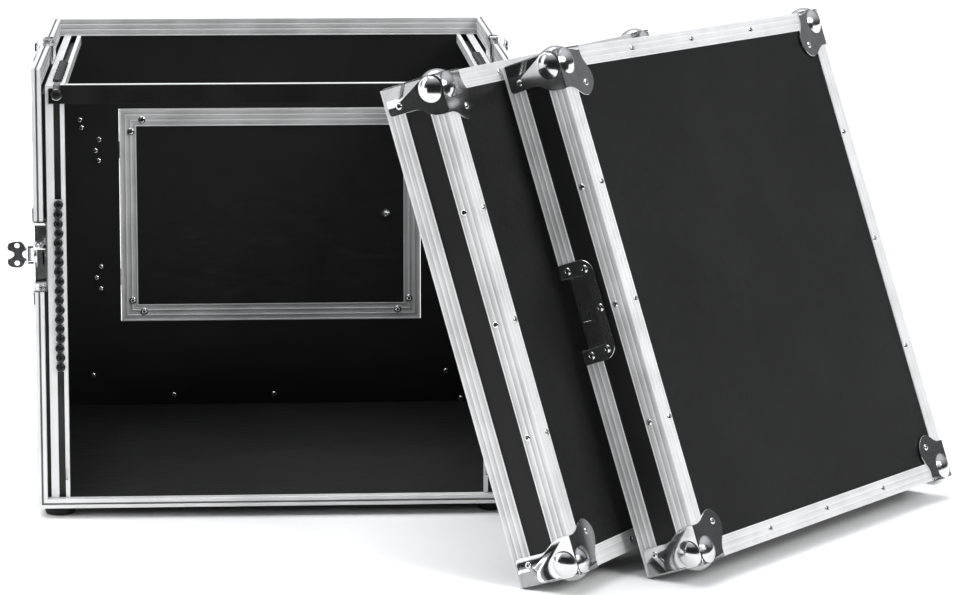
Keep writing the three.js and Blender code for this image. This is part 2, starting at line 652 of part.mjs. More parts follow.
// ---- covers: X runs across, the face is at Y 0 facing -Y, the open side at +Y, Z from -height to 0 ----

function cover(prefix, width, height, keepers, pose) {
  const turned = new THREE.Group();
  const leaning = new THREE.Group();
  const yaw = THREE.MathUtils.degToRad(pose.yaw);
  const tilt = THREE.MathUtils.degToRad(pose.tilt);
  const lift = (PLATE + height) * Math.cos(tilt) + COVER_DEPTH * Math.sin(tilt);
  turned.position.set(pose.x, pose.y, FLOOR + lift);
  turned.rotation.z = yaw;
  leaning.rotation.x = -tilt;
  turned.add(leaning);
  object.add(turned);

  const openings = keepers.map(({ origin, outward }) => onWall(dishOpening(), origin, outward, [0, 1, 0]));
  const wallFront = SKIN + PLY + GAP;
  const wallBack = COVER_DEPTH - 5 - GAP;
  const outerWall = block(SKIN, width - SKIN, wallFront, wallBack, -height + SKIN, -SKIN);
  const room = SKIN + PLY;
  const innerWall = block(room, width - room, 0, COVER_DEPTH, -height + room, -room);
  put(leaning, `${prefix}_walls`, cut(outerWall, innerWall, ...openings), laminate);
  const face = block(SKIN, width - SKIN, SKIN, SKIN + PLY, -height + SKIN, -SKIN);
  put(leaning, `${prefix}_face`, face, laminate);

  // The rim is made with its b along +Y, then turned about so that b runs from the open side to the face.
  const everySide = ['left', 'right', 'bottom', 'top'];
  const back = new THREE.Matrix4().makeRotationZ(Math.PI).setPosition(width, COVER_DEPTH, -height);
  const rim = solid(toGeometry(mitredFrame(rimProfile, width, height, everySide)).applyMatrix4(back));
  const angles = mitredFrame(angleProfile(20, FLANGE), width, height, everySide).translate([0, 0, -height]);
  const corners = [];
  for (const [x, sx] of [[0, -1], [width, 1]]) {
    for (const [z, sz] of [[-height, -1], [0, 1]]) {
      corners.push(ballCorner([x, 0, z], [sx, -1, sz], [CORNER_LEG, COVER_DEPTH, CORNER_LEG]));
    }
  }
  put(leaning, `${prefix}_frame`, fuse(cut(rim, ...openings), angles, ...corners), aluminium);

  for (const { name, origin, outward } of keepers) {
    const catchPlate = fuse(dish(), block(-CUP_DEPTH + 0.5, -5.5, -9, -7, -9.5, 9.5));
    put(leaning, `${prefix}_keeper_${name}`, onWall(catchPlate, origin, outward, [0, 1, 0]), zinc);
  }
}

// The front cover stands on its right edge, so its keepers are on its upper and lower walls as it stands.
const frontKeeperX = TOP - LATCH_HEIGHT;
cover('front_cover', CASE_HEIGHT, CASE_WIDTH, [
  { name: 'upper', origin: [frontKeeperX, COVER_DEPTH, 0], outward: [0, 0, 1] },
  { name: 'lower', origin: [frontKeeperX, COVER_DEPTH, -CASE_WIDTH], outward: [0, 0, -1] },
], FRONT_COVER_POSE);

// The top cover stands on its rear edge: its front edge is on top, its keepers on its upright walls.
cover('top_cover', CASE_WIDTH, CASE_DEPTH, [
  { name: 'near', origin: [0, COVER_DEPTH, -LATCH_FROM_FRONT], outward: [-1, 0, 0] },
  { name: 'far', origin: [CASE_WIDTH, COVER_DEPTH, -LATCH_FROM_FRONT], outward: [1, 0, 0] },
], TOP_COVER_POSE);

export default object;
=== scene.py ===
"""Looks of the equipment case: ribbed aluminium edging, pressed corners, latches, rack screws and covers.

Lengths in this file are millimetres in the CAD's frame; Shape.piece turns them into metres.
"""

import math

import bpy
from mathutils import Matrix, Vector


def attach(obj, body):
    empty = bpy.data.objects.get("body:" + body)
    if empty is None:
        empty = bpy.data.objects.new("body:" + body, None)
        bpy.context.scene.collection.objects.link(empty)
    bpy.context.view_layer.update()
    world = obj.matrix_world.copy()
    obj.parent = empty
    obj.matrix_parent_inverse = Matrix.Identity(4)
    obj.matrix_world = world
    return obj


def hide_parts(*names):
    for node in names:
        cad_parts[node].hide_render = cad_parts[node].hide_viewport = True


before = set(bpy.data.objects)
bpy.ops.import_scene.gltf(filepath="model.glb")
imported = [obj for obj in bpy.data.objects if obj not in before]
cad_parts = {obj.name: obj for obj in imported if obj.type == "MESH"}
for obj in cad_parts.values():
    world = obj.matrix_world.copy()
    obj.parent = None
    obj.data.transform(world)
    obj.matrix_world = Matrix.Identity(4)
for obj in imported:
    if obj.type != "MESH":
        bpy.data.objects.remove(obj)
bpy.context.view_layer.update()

# ---- dimensions, as in the CAD source ----

MM = 0.001
FLAT_AREA = 12 * MM * MM  # square metres; larger faces are flat sheet
SHARP_ANGLE = 32  # degrees; edges sharper than this aren't smoothed
CASE_WIDTH, CASE_DEPTH, CASE_HEIGHT = 517, 538, 478
PLY, GAP, SKIN = 7, 0.3, 1.5
WALL = SKIN - GAP
SLOT_CENTRE, RACK_HEIGHT, RAIL_SETBACK = 232.55, 456.5, 10
EDGE_WIDTH, FLANGE = 10, 21
NUT_PITCH, NUT_COUNT = 10.4, 18
FOOT_HEIGHT, FOOT_RADIUS = 11, 17.5
BALL_RADIUS, BALL_INSET, REAR_BALL_RADIUS = 19, 12.5, 16
PLATE = 1.2
COVER_DEPTH = 70
DISH_LENGTH, DISH_REACH, DISH_OPENING = 105, 41.5, 76
CUP_REACH, CUP_CORNER, FLANGE_CORNER, CUP_DEPTH = 31, 9, 16, 13.7
LATCH_HEIGHT, LATCH_FROM_FRONT = 274, 262
ROTOR_Y, WING_AXIS, HOOK_TRAVEL = -19, 6.5, 6
BOTTOM = -SKIN
TOP = BOTTOM + CASE_HEIGHT
HALF = CASE_WIDTH / 2
FRONT, REAR = -CASE_DEPTH / 2, CASE_DEPTH / 2
FLOOR = BOTTOM - FOOT_HEIGHT
INNER = HALF - SKIN - PLY
RAIL_FRONT = FRONT + RAIL_SETBACK
WALL_FACE = REAR - SKIN
INSIDE_FACE = WALL_FACE - PLY
DISH_GAP = DISH_OPENING / 2 + GAP
SIDES = (("left", -1), ("right", 1))

X, Y, Z = Vector((1, 0, 0)), Vector((0, 1, 0)), Vector((0, 0, 1))


# ---- shapes ----


def axes(origin, first, second, third):
    """The place whose X, Y and Z run along the three directions."""
    place = Matrix((first, second, third)).transposed().to_4x4()
    place.translation = Vector(origin)
    return place


def at(x, y, z):
    return Matrix.Translation((x, y, z))


def turn(degrees, axis):
    return Matrix.Rotation(math.radians(degrees), 4, axis)


def circle(radius, sides, start=0.0):
    steps = [start + 2 * math.pi * i / sides for i in range(sides)]
    return [(radius * math.cos(t), radius * math.sin(t)) for t in steps]


def arc(cx, cy, radius, start, end, steps=6):
    """Points of an arc from start to end, in degrees."""
    found = []
    for i in range(steps + 1):
        t = math.radians(start + (end - start) * i / steps)
        found.append((cx + radius * math.cos(t), cy + radius * math.sin(t)))
    return found


def rounded(x0, x1, y0, y1, radius, steps=5):
    """A rectangle with round corners."""
    return (
        arc(x1 - radius, y0 + radius, radius, -90, 0, steps)
        + arc(x1 - radius, y1 - radius, radius, 0, 90, steps)
        + arc(x0 + radius, y1 - radius, radius, 90, 180, steps)
        + arc(x0 + radius, y0 + radius, radius, 180, 270, steps)
    )


def loft(loops, closed=True, caps=True):
    """Joins loops of equal length with quads."""
    n = len(loops[0])
    points = [tuple(p) for loop in loops for p in loop]
    faces = []
    for k in range(len(loops) - 1):
        for i in range(n if closed else n - 1):
            j = (i + 1) % n
            faces.append([k * n + i, k * n + j, (k + 1) * n + j, (k + 1) * n + i])
    if caps:
        faces.append(list(range(n))[::-1])
        faces.append([(len(loops) - 1) * n + i for i in range(n)])
    return points, faces


def anticlockwise(outline):
    pairs = zip(outline, outline[1:] + outline[:1])
    area = sum(a[0] * b[1] - b[0] * a[1] for a, b in pairs)
    return outline if area > 0 else outline[::-1]


def prism(outline, low, high, edge=0.0):
    """An outline in X and Y with a thickness along Z, its upper edge eased by a small chamfer."""
    outline = anticlockwise(outline)
    loops = [[(x, y, low) for x, y in outline]]
    if edge:
        loops.append([(x, y, high - edge) for x, y in outline])
        outline = shrunk(outline, edge)
    loops.append([(x, y, high) for x, y in outline])
    return loft(loops)


def shrunk(outline, by):
    """The outline moved inward by a distance, vertex for vertex."""
    moved = []
    for i, (x, y) in enumerate(outline):
        ax, ay = outline[i - 1]
        bx, by_ = outline[(i + 1) % len(outline)]
        before = Vector((x - ax, y - ay)).normalized()
        after = Vector((bx - x, by_ - y)).normalized()
        n1, n2 = Vector((-before.y, before.x)), Vector((-after.y, after.x))
        bisector = n1 + n2
        scale = by * 2 / max(bisector.length_squared, 0.6)
        moved.append((x + bisector.x * scale, y + bisector.y * scale))
    return moved


def block(x0, x1, y0, y1, z0, z1, edge=0.0):
    return prism([(x0, y0), (x1, y0), (x1, y1), (x0, y1)], z0, z1, edge)


def lathe(profile, sides=24):
    """(radius, height) pairs, from the middle of the underside round to the middle of the top."""
    return loft([[(x, y, z) for x, y in circle(r, sides)] for r, z in profile])


def tube(path, radius, sides=12):
    """A round rod along a path, with its ends closed."""
    path = [Vector(p) for p in path]
    loops, normal = [], None
    for i, p in enumerate(path):
        ahead = path[min(i + 1, len(path) - 1)] - path[max(i - 1, 0)]
        tangent = ahead.normalized()
        if normal is None:
            normal = tangent.orthogonal().normalized()
        normal = (normal - tangent * normal.dot(tangent)).normalized()
        side = tangent.cross(normal)
        loops.append([p + normal * x + side * y for x, y in circle(radius, sides)])
    return loft(loops)


def rod(radius, low, high, sides):
    """A cylinder along Z."""
    return lathe([(0, low), (radius, low), (radius, high), (0, high)], sides)


def bar(profile, start, end, cuts=("", "")):
    """A profile in (a, b) run along Z. An end may be mitred across a or across b. A point's optional third
    value is its painted shade and dullness.
    """
    profile = anticlockwise(profile)
    reach = {"": lambda p: 0, "a": lambda p: p[0], "b": lambda p: p[1]}
    low = [(p[0], p[1], start + reach[cuts[0]](p)) for p in profile]
    high = [(p[0], p[1], end - reach[cuts[1]](p)) for p in profile]
    points, faces = loft([low, high])
    return points, faces, [p[2] if len(p) > 2 else 0.0 for p in profile] * 2


def linked(name, data):
    """A new object in the scene."""
    made = bpy.data.objects.new(name, data)
    bpy.context.scene.collection.objects.link(made)
    return made


class Shape:
    """Faces in millimetres that become one piece. Each point keeps where it lies along its own bar, and its
    painted shade and dullness.
    """

    def __init__(self):
        self.points, self.grain, self.dull, self.faces, self.finish = [], [], [], [], []

    def add(self, made, place=Matrix(), finish=0):
        points, faces, *dull = made
        base = len(self.points)
        self.points += [place @ Vector(p) for p in points]
        self.grain += [tuple(p) for p in points]
        self.dull += dull[0] if dull else [0.0] * len(points)
        mirrored = place.to_3x3().determinant() < 0
        for face in faces:
            face = [base + i for i in face]
            self.faces.append(face[::-1] if mirrored else face)
            self.finish.append(finish)
        return self

    def placed(self, place):
        """The same shape somewhere else, with its grain and finishes."""
        made = Shape()
        made.points = [place @ p for p in self.points]
        made.grain, made.dull, made.faces, made.finish = self.grain, self.dull, self.faces, self.finish
        return made

    def mesh(self, name):
        mesh = bpy.data.meshes.new(name)
        mesh.from_pydata([p * MM for p in self.points], [], self.faces)
        mesh.polygons.foreach_set("use_smooth", [p.area < FLAT_AREA for p in mesh.polygons])
        mesh.polygons.foreach_set("material_index", self.finish)
        grain = mesh.attributes.new("grain", "FLOAT_VECTOR", "POINT")
        grain.data.foreach_set("vector", [v * MM for g in self.grain for v in g])
        # Each point's painted shade and dullness, for the aluminium's colour and roughness.
        dull = mesh.attributes.new("dull", "FLOAT", "POINT")
        dull.data.foreach_set("value", self.dull)
        mesh.set_sharp_from_angle(angle=math.radians(SHARP_ANGLE))
        mesh.validate()
        return mesh

    def piece(self, name, body, looks, *replaces):
        """Makes the piece with its materials and sets it on its body."""
        made = linked(name, self.mesh(name))
        for look in looks:
            made.data.materials.append(look)
        even = made.modifiers.new("even", "WEIGHTED_NORMAL")
        even.keep_sharp, even.weight = True, 80
        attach(made, body)
        if replaces:
            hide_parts(*replaces)
        return made


# ---- materials ----


class Look:
    """A node material under construction."""

    def __init__(self, name, colour, roughness, metallic=0.0):
        self.material = bpy.data.materials.new(name)
        self.material.use_nodes = True
        self.nodes = self.material.node_tree.nodes
        self.links = self.material.node_tree.links
        self.shader = self.nodes["Principled BSDF"]
        self.shader.inputs["Base Color"].default_value = (*colour, 1)
        self.shader.inputs["Roughness"].default_value = roughness
        self.shader.inputs["Metallic"].default_value = metallic

    def node(self, kind, sockets):
        made = self.nodes.new(kind)
        for key, value in sockets.items():
            made.inputs[key].default_value = value
        return made

    def attribute(self, name):
        made = self.nodes.new("ShaderNodeAttribute")
        made.attribute_name = name
        return made

    def place(self, along_bar=False, scale=(1, 1, 1)):
        """Where a point lies on its piece, or along its own bar."""
        if along_bar:
            out = self.attribute("grain").outputs["Vector"]
        else:
            out = self.nodes.new("ShaderNodeTexCoord").outputs["Object"]
        mapping = self.node("ShaderNodeMapping", {"Scale": scale})
        self.links.new(out, mapping.inputs["Vector"])
        return mapping.outputs["Vector"]

    def noise(self, scale, detail=2.0, roughness=0.5, where=None):
        made = self.node("ShaderNodeTexNoise", {"Scale": scale, "Detail": detail, "Roughness": roughness})
        self.links.new(where or self.place(), made.inputs["Vector"])
        return made.outputs["Fac"]

    def between(self, factor, low, high, start=0.3, end=0.7):
        """A number that goes from low to high with the factor."""
        limits = {"From Min": start, "From Max": end, "To Min": low, "To Max": high}
        made = self.node("ShaderNodeMapRange", limits)
        self.links.new(factor, made.inputs["Value"])
        return made.outputs["Result"]

    def sum(self, first, second):
        made = self.nodes.new("ShaderNodeMath")
        made.operation = "ADD"
        self.links.new(first, made.inputs[0])
        self.links.new(second, made.inputs[1])
        return made.outputs["Value"]

    def colours(self, factor, *stops):
        ramp = self.nodes.new("ShaderNodeValToRGB")
        while len(ramp.color_ramp.elements) < len(stops):
            ramp.color_ramp.elements.new(0.5)
        for element, (position, colour) in zip(ramp.color_ramp.elements, stops):
            element.position, element.color = position, (*colour, 1)
        self.links.new(factor, ramp.inputs["Fac"])
        self.links.new(ramp.outputs["Color"], self.shader.inputs["Base Color"])

    def rough(self, value):
        self.links.new(value, self.shader.inputs["Roughness"])

    def bump(self, *layers):
        """Layers of (height, distance in metres, strength)."""
        normal = None
        for height, distance, strength in layers:
            made = self.node("ShaderNodeBump", {"Distance": distance, "Strength": strength})
            self.links.new(height, made.inputs["Height"])
            if normal:
                self.links.new(normal, made.inputs["Normal"])
            normal = made.outputs["Normal"]
        self.links.new(normal, self.shader.inputs["Normal"])

    def set(self, **sockets):
        for key, value in sockets.items():
            self.shader.inputs[key.replace("_", " ")].default_value = value
        return self


def grey(value, tint=0.0):
    return (value * (1 - tint), value, value * (1 + tint))


def drawn_aluminium():
    """Natural anodised extrusion: bright ridges, duller flutes, die lines along each bar, cloudy tone, and
    painted shade that darkens flutes, grooves and slots.
    """
    look = Look("drawn_aluminium", grey(0.8), 0.36, 0.2)
    lines = look.noise(1.0, 3.0, where=look.place(True, (2600, 2600, 9)))
    cloud = look.noise(22.0, 3.0)
    # This point attribute paints shade: it darkens the colour in flutes, grooves and slots, and also makes
    # the flutes duller.
    dull = look.attribute("dull")
    streaks = look.between(lines, -0.3, 0.3)
    tone = look.sum(look.between(cloud, -0.25, 0.25), look.sum(dull.outputs["Fac"], streaks))
    stops = ((0.0, 0.92), (0.12, 0.84), (0.34, 0.52), (0.6, 0.24), (1.0, 0.04))
    look.colours(look.between(tone, 0, 1, -0.3, 3.2), *[(at_, grey(value, 0.004)) for at_, value in stops])
    look.rough(look.sum(look.between(lines, 0.28, 0.42), look.between(dull.outputs["Fac"], 0.0, 0.12, 0, 1)))
    look.bump((lines, 0.00004, 0.35), (look.noise(260.0), 0.00006, 0.12))
    return look.set(Anisotropic=0.35).material


def bright_zinc():
    """Bright plated pressed steel: mirror-like, with soft waviness and faint handling marks."""
    look = Look("bright_zinc", grey(0.74), 0.14, 1.0)
    wave = look.noise(60.0, 2.0)
    marks = look.noise(900.0, 4.0, 0.65)
    look.colours(wave, (0.2, grey(0.66, 0.01)), (0.55, grey(0.76, 0.006)), (0.9, grey(0.83, 0.0)))
    look.rough(look.between(marks, 0.07, 0.24))
    look.bump((wave, 0.0006, 0.06), (marks, 0.00003, 0.15))
    return look.material


def black_laminate():
    """Phenolic film on plywood: near black, a fine stipple and large soft changes of gloss."""
    look = Look("black_laminate", grey(0.01), 0.45)
    stipple = look.noise(950.0, 2.0, 0.6)
    cloud = look.noise(7.0, 3.0)
    scuff = look.noise(9.0, 5.0, 0.7, look.place(scale=(3, 40, 14)))
    look.colours(cloud, (0.3, grey(0.0065, 0.02)), (0.55, grey(0.009, 0.015)), (0.8, grey(0.013, 0.01)))
    look.rough(look.between(scuff, 0.36, 0.56))
    look.bump((stipple, 0.00018, 0.35), (look.noise(34.0), 0.0008, 0.05))
    return look.set(Specular_IOR_Level=0.3).material


def black_zinc():
    """Blackened steel of screws: dark, slightly metallic, worn brighter in small spots."""
    look = Look("black_zinc", grey(0.02), 0.3, 0.25)
    spots = look.noise(1300.0, 3.0)
    look.colours(spots, (0.35, grey(0.012)), (0.62, grey(0.028)), (0.85, grey(0.08)))
    look.rough(look.between(spots, 0.22, 0.4))
    look.bump((spots, 0.00005, 0.25))
    return look.set(Specular_IOR_Level=0.35).material


def gloss_black():
    """Gloss powder coat with a fine orange peel."""
    look = Look("gloss_black", grey(0.014), 0.2)
    peel = look.noise(420.0, 1.0)
    cloud = look.noise(12.0, 2.0)
    look.colours(cloud, (0.3, grey(0.007)), (0.7, grey(0.013)))
    look.rough(look.between(cloud, 0.2, 0.34))
    look.bump((peel, 0.00012, 0.3))
    return look.set(Specular_IOR_Level=0.3, Coat_Weight=0.15, Coat_Roughness=0.15).material


def powder_black():
    """Matt textured powder coat of the side pockets."""
    look = Look("powder_black", grey(0.022), 0.5)
    grain = look.noise(1500.0, 2.0)
    look.colours(grain, (0.3, grey(0.014)), (0.75, grey(0.034)))
    look.rough(look.between(grain, 0.4, 0.6))
    look.bump((grain, 0.0001, 0.45))
    return look.material


def foot_rubber():
    """Moulded black rubber with a dusty bloom."""
    look = Look("foot_rubber", grey(0.018), 0.75)
    grain = look.noise(700.0, 3.0)
    dust = look.noise(70.0, 3.0)
    look.colours(dust, (0.35, grey(0.012)), (0.75, grey(0.028)))
    look.rough(look.between(dust, 0.62, 0.85))
    look.bump((grain, 0.0001, 0.4))
    return look.set(Specular_IOR_Level=0.35).material


def painted_hole_shade():
    """Painted shade for the inside of a rivet's stem hole: dark and uneven."""
    look = Look("painted_hole_shade", grey(0.02), 0.6, 0.3)
    spots = look.noise(1100.0, 2.0)
    look.colours(spots, (0.3, grey(0.01)), (0.8, grey(0.035)))
    return look.material


def dark_felt():
    """Black felt of the studio's card."""
    look = Look("dark_felt", grey(0.012), 0.95)
    look.colours(look.noise(900.0), (0.3, grey(0.009)), (0.7, grey(0.016)))
    return look.set(Specular_IOR_Level=0.1).material


def pale_floor():
    """Matt studio board."""
    look = Look("pale_floor", grey(0.9), 0.8)
    cloud = look.noise(1.4, 2.0)
    look.colours(cloud, (0.2, grey(0.885)), (0.8, grey(0.905)))
    return look.set(Specular_IOR_Level=0.1).material


ALUMINIUM, ZINC, LAMINATE = drawn_aluminium(), bright_zinc(), black_laminate()
BLACK_ZINC, GLOSS, POWDER, RUBBER = black_zinc(), gloss_black(), powder_black(), foot_rubber()
# The rivet holes' painted shade.
HOLE_SHADE = painted_hole_shade()


def finish_panels():
    """The plywood panels keep their CAD shape and get the laminate."""
    for name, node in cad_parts.items():
        if name.endswith(("_panel", "_walls", "_face")):
            node.data.materials.clear()
            node.data.materials.append(LAMINATE)
            for polygon in node.data.polygons:
                polygon.material_index = 0


# ---- extrusion profiles: a across the panel from the outside, b along it from the open edge ----

RIDGE = 0.65  # half width of the raised lines on the extrusions
FLUTE = 0.32  # depth of the broad flutes between them


def ridged(length, count, depth=FLUTE):
    """(distance along a leg, depth below its surface, painted shade and dullness) for ridges spaced evenly
    along it.
    """
    found = []
    pitch = (length - 2 * RIDGE) / (count - 1)
    wide = pitch - 2 * RIDGE
    for i in range(count):
        centre = RIDGE + i * pitch
        crest = ((-RIDGE, 0.1), (-0.45, 0), (0.45, 0), (RIDGE, 0.1))
        found += [(centre + along, below, 0) for along, below in crest]
        if i < count - 1:
            for t in (0.04, 0.2, 0.4, 0.6, 0.8, 0.96):
                below = depth * (0.75 + 0.25 * t)
                # Painted shade: the flute's colour darkens towards the next ridge.
                found.append((centre + RIDGE + t * wide, below, 0.35 + 0.65 * t))
    return found


def frame_profile(inner, ridges):
    """Case frame or cover rim: a grooved edge face, a ridged outer flange and an inner flange."""
    # The bottom of the edge face's groove carries painted shade (2.2).
    edge = [(0.3, 0), (3.6, 0), (3.8, 0.2), (3.8, 2, 2.2), (5.9, 2, 2.2), (5.9, 0.2), (6.1, 0)]
    edge.append((EDGE_WIDTH - 0.3, 0))
    if ridges:
        inside = [(EDGE_WIDTH - d, b, dull) for b, d, dull in ridged(inner, ridges)]
    else:
        inside = [(EDGE_WIDTH, 0.3), (EDGE_WIDTH, inner)]
    back = [(EDGE_WIDTH - WALL, inner), (EDGE_WIDTH - WALL, 5), (WALL, 5), (WALL, FLANGE)]
    return edge + inside + back + [(d, b, dull) for b, d, dull in reversed(ridged(FLANGE, 4))]


def angle_profile(face_leg, side_leg, contrast=0.4):
    """Edge angle: one ridged leg on the face (b 0) and one on the side (a 0); contrast scales the face leg's
    flute depth and its painted shade.
    """
    face = [(a, d, contrast * dull) for a, d, dull in ridged(face_leg, 4, 0.6 * contrast)][1:]
    side = [(d, b, dull) for b, d, dull in reversed(ridged(side_leg, 4))][:-1]
    return face + [(face_leg, WALL), (WALL, WALL), (WALL, side_leg)] + side


def run(shape, profile, place, length, gaps=()):
    """A bar along a place's Z with mitred ends, interrupted at the gaps."""
    marks = [0]
    for centre, half in gaps:
        marks += [centre - half, centre + half]
    marks.append(length)
    for i in range(0, len(marks), 2):
        ends = ("a" if i == 0 else "", "a" if i == len(marks) - 2 else "")
        shape.add(bar(profile, marks[i], marks[i + 1], ends), place)


def surround(shape, profile, place, width, height, along, upright_gaps=(), level_gaps=()):
    """Four mitred bars round a rectangle in (X, Z), Z from -height to 0; along is the profile's b."""
    for x, inward in ((0, X), (width, -X)):
        run(shape, profile, place @ axes((x, 0, -height), inward, along, Z), height, upright_gaps)
    for z, inward in ((0, -Z), (-height, Z)):
        run(shape, profile, place @ axes((0, 0, z), inward, along, X), width, level_gaps)


# ---- rivets and screws ----


def rivet(radius=3.5, height=1.25):
    """A pop rivet's dome with its open middle; the hole's faces are returned apart."""
    hole = radius * 0.33
    dome = [(radius, -0.3), (radius, 0.1), (radius * 0.93, height * 0.45), (radius * 0.76, height * 0.84)]
    dome += [(radius * 0.56, height), (radius * 0.4, height * 0.98), (hole * 1.1, height * 0.8)]
    points, faces = lathe(dome + [(hole, height * 0.5), (hole, height * 0.12)], 20)
    walls = 20 * (len(dome) + 1)
    return (points, faces[: walls - 20] + [faces[-2]]), (points, faces[walls - 20 : walls] + [faces[-1]])


def add_rivet(shape, place, radius=3.5, height=1.25, finish=0):
    """Puts a rivet at a place whose Z points out of the surface; finish 1 is the hole, painted dark as its
    shade.
    """
    dome, hole = rivet(radius, height)
    shape.add(dome, place, finish)
    shape.add(hole, place, 1)


def facing(origin, outward):
    """A place whose Z points out of a surface."""
    first = Y if outward.x else X
    return axes(origin, first, outward.cross(first), outward)


def cross_outline(length, width):
    """24 points of a cross recess, starting on +X."""
    middle = (length + width) / 2
    arm = [(length, 0), (length, width), (middle, width), (width, width), (width, middle), (width, length)]
    found = []
    for quarter in range(4):
        c, s = round(math.cos(quarter * math.pi / 2)), round(math.sin(quarter * math.pi / 2))
        found += [(x * c - y * s, x * s + y * c) for x, y in arm]
    return found


def screw_head(radius, height, twist=0.0):
    """A pan head with a cross recess, turned by twist degrees."""
    rings = [(1, 0), (1, 0.3), (0.96, 0.55), (0.86, 0.78), (0.7, 0.93), (0.56, 0.99)]
    loops = [[(x, y, height * h) for x, y in circle(radius * r, 24)] for r, h in rings]
    long, thin = radius * 0.5, radius * 0.13
    loops.append([(x, y, height * 1.0) for x, y in cross_outline(long, thin)])
    loops.append([(x, y, height * 0.8) for x, y in cross_outline(long * 0.9, thin * 0.9)])
    loops.append([(x, y, height * 0.25) for x, y in cross_outline(long * 0.45, thin * 0.75)])
    points, faces = loft(loops)
    spin = turn(twist, "Z")
    return [tuple(spin @ Vector(p)) for p in points], faces


# ---- the case's frame ----


def case_frames():
    front, top = frame_profile(12, 0), frame_profile(20, 4)
    lower, upper = Shape(), Shape()
    low_gap, top_gap = LATCH_HEIGHT - BOTTOM, LATCH_FROM_FRONT
    for side, sign in SIDES:
        inward = X * -sign
        upright = axes((sign * HALF, FRONT, BOTTOM), inward, Y, Z)
        level = axes((sign * HALF, FRONT, TOP), inward, -Z, Y)
        lower.add(bar(front, 0, low_gap - DISH_GAP, ("a", "")), upright)
        upper.add(bar(top, top_gap + DISH_GAP, CASE_DEPTH, ("", "a")), level)
        corner = Shape()
        corner.add(bar(front, low_gap + DISH_GAP, CASE_HEIGHT, ("", "b")), upright)
        corner.add(bar(top, 0, top_gap - DISH_GAP, ("b", "")), level)
        corner.piece(f"corner_frame_{side}", "case", [ALUMINIUM], f"frame_corner_{side}")
    lower.add(bar(front, 0, CASE_WIDTH, ("a", "a")), axes((-HALF, FRONT, BOTTOM), Z, Y, X))
    upper.add(bar(top, 0, CASE_WIDTH, ("a", "a")), axes((-HALF, REAR, TOP), -Y, -Z, X))
    lower.piece("lower_front_frame", "case", [ALUMINIUM], "frame_lower_front")
    upper.piece("upper_rear_frame", "case", [ALUMINIUM], "frame_upper_rear")


def case_edges():
    """The angles along the lower and rear edges, which end under the ball corners."""
    leg, under = angle_profile(FLANGE, FLANGE), 22
    edges = Shape()
    for _, sign in SIDES:
        side = axes((sign * HALF, FRONT + FLANGE + GAP, BOTTOM), X * -sign, Z, Y)
        edges.add(bar(leg, 0, CASE_DEPTH - FLANGE - GAP - under), side)
        back = axes((sign * HALF, REAR, BOTTOM), X * -sign, -Y, Z)
        edges.add(bar(leg, under, CASE_HEIGHT - FLANGE - GAP), back)
    edges.add(bar(leg, under, CASE_WIDTH - under), axes((-HALF, REAR, BOTTOM), -Y, Z, X))
    edges.piece("lower_edge_angles", "case", [ALUMINIUM], "edge_angles")


# ---- ball corners: pressed steel, in distances from the corner's three faces ----


def ear_outline():
    """The plate on a cover's face: widest over its rivet, and even about the diagonal."""
    half = [(-PLATE, 40), (4, 40), (9, 40.2), (15, 42.5), (21, 46.6)]
    half += [(27, 49.8), (33, 50.8), (39, 49.4), (43.5, 46.2)]
    return [(-PLATE, -PLATE)] + half + [(y, x) for x, y in reversed(half)]


def band_outline():
    """The plate on a cover's wall: (distance from the neighbouring edge, depth)."""
    curve = [(40, -PLATE), (40.4, 4), (39.9, 10), (38.6, 16), (36.2, 21), (32.6, 26), (29.8, 30), (28.6, 35)]
    end = [(28.5, 62), (27.9, 64.3), (26.2, 65.7), (24, 66)]
    return [(-PLATE, -PLATE)] + curve + end + [(-PLATE, 66)]


def volume(made):
    points, faces = made
    total = 0
    for face in faces:
        first = Vector(points[face[0]])
        for i in range(1, len(face) - 1):
            total += first.dot(Vector(points[face[i]]).cross(Vector(points[face[i + 1]])))
    return total


def temporary(made):
    points, faces = made
    shape = Shape().add(made if volume(made) > 0 else (points, [f[::-1] for f in faces]))
    return linked("temporary", shape.mesh("temporary"))


def combined(first, second, operation):
    """The union, difference or overlap of two closed shapes."""
    base, tool = temporary(first), temporary(second)
    cutter = base.modifiers.new("cutter", "BOOLEAN")
    cutter.operation, cutter.object, cutter.solver = operation, tool, "EXACT"
    bpy.context.view_layer.update()
    mesh = base.evaluated_get(bpy.context.evaluated_depsgraph_get()).to_mesh()
    points = [tuple(v.co / MM) for v in mesh.vertices]
    faces = [list(p.vertices) for p in mesh.polygons]
    bpy.data.objects.remove(base)
    bpy.data.objects.remove(tool)
    return points, faces


def moved(made, place):
    points, faces = made
    flip = place.to_3x3().determinant() < 0
    return [tuple(place @ Vector(p)) for p in points], [f[::-1] if flip else f for f in faces]


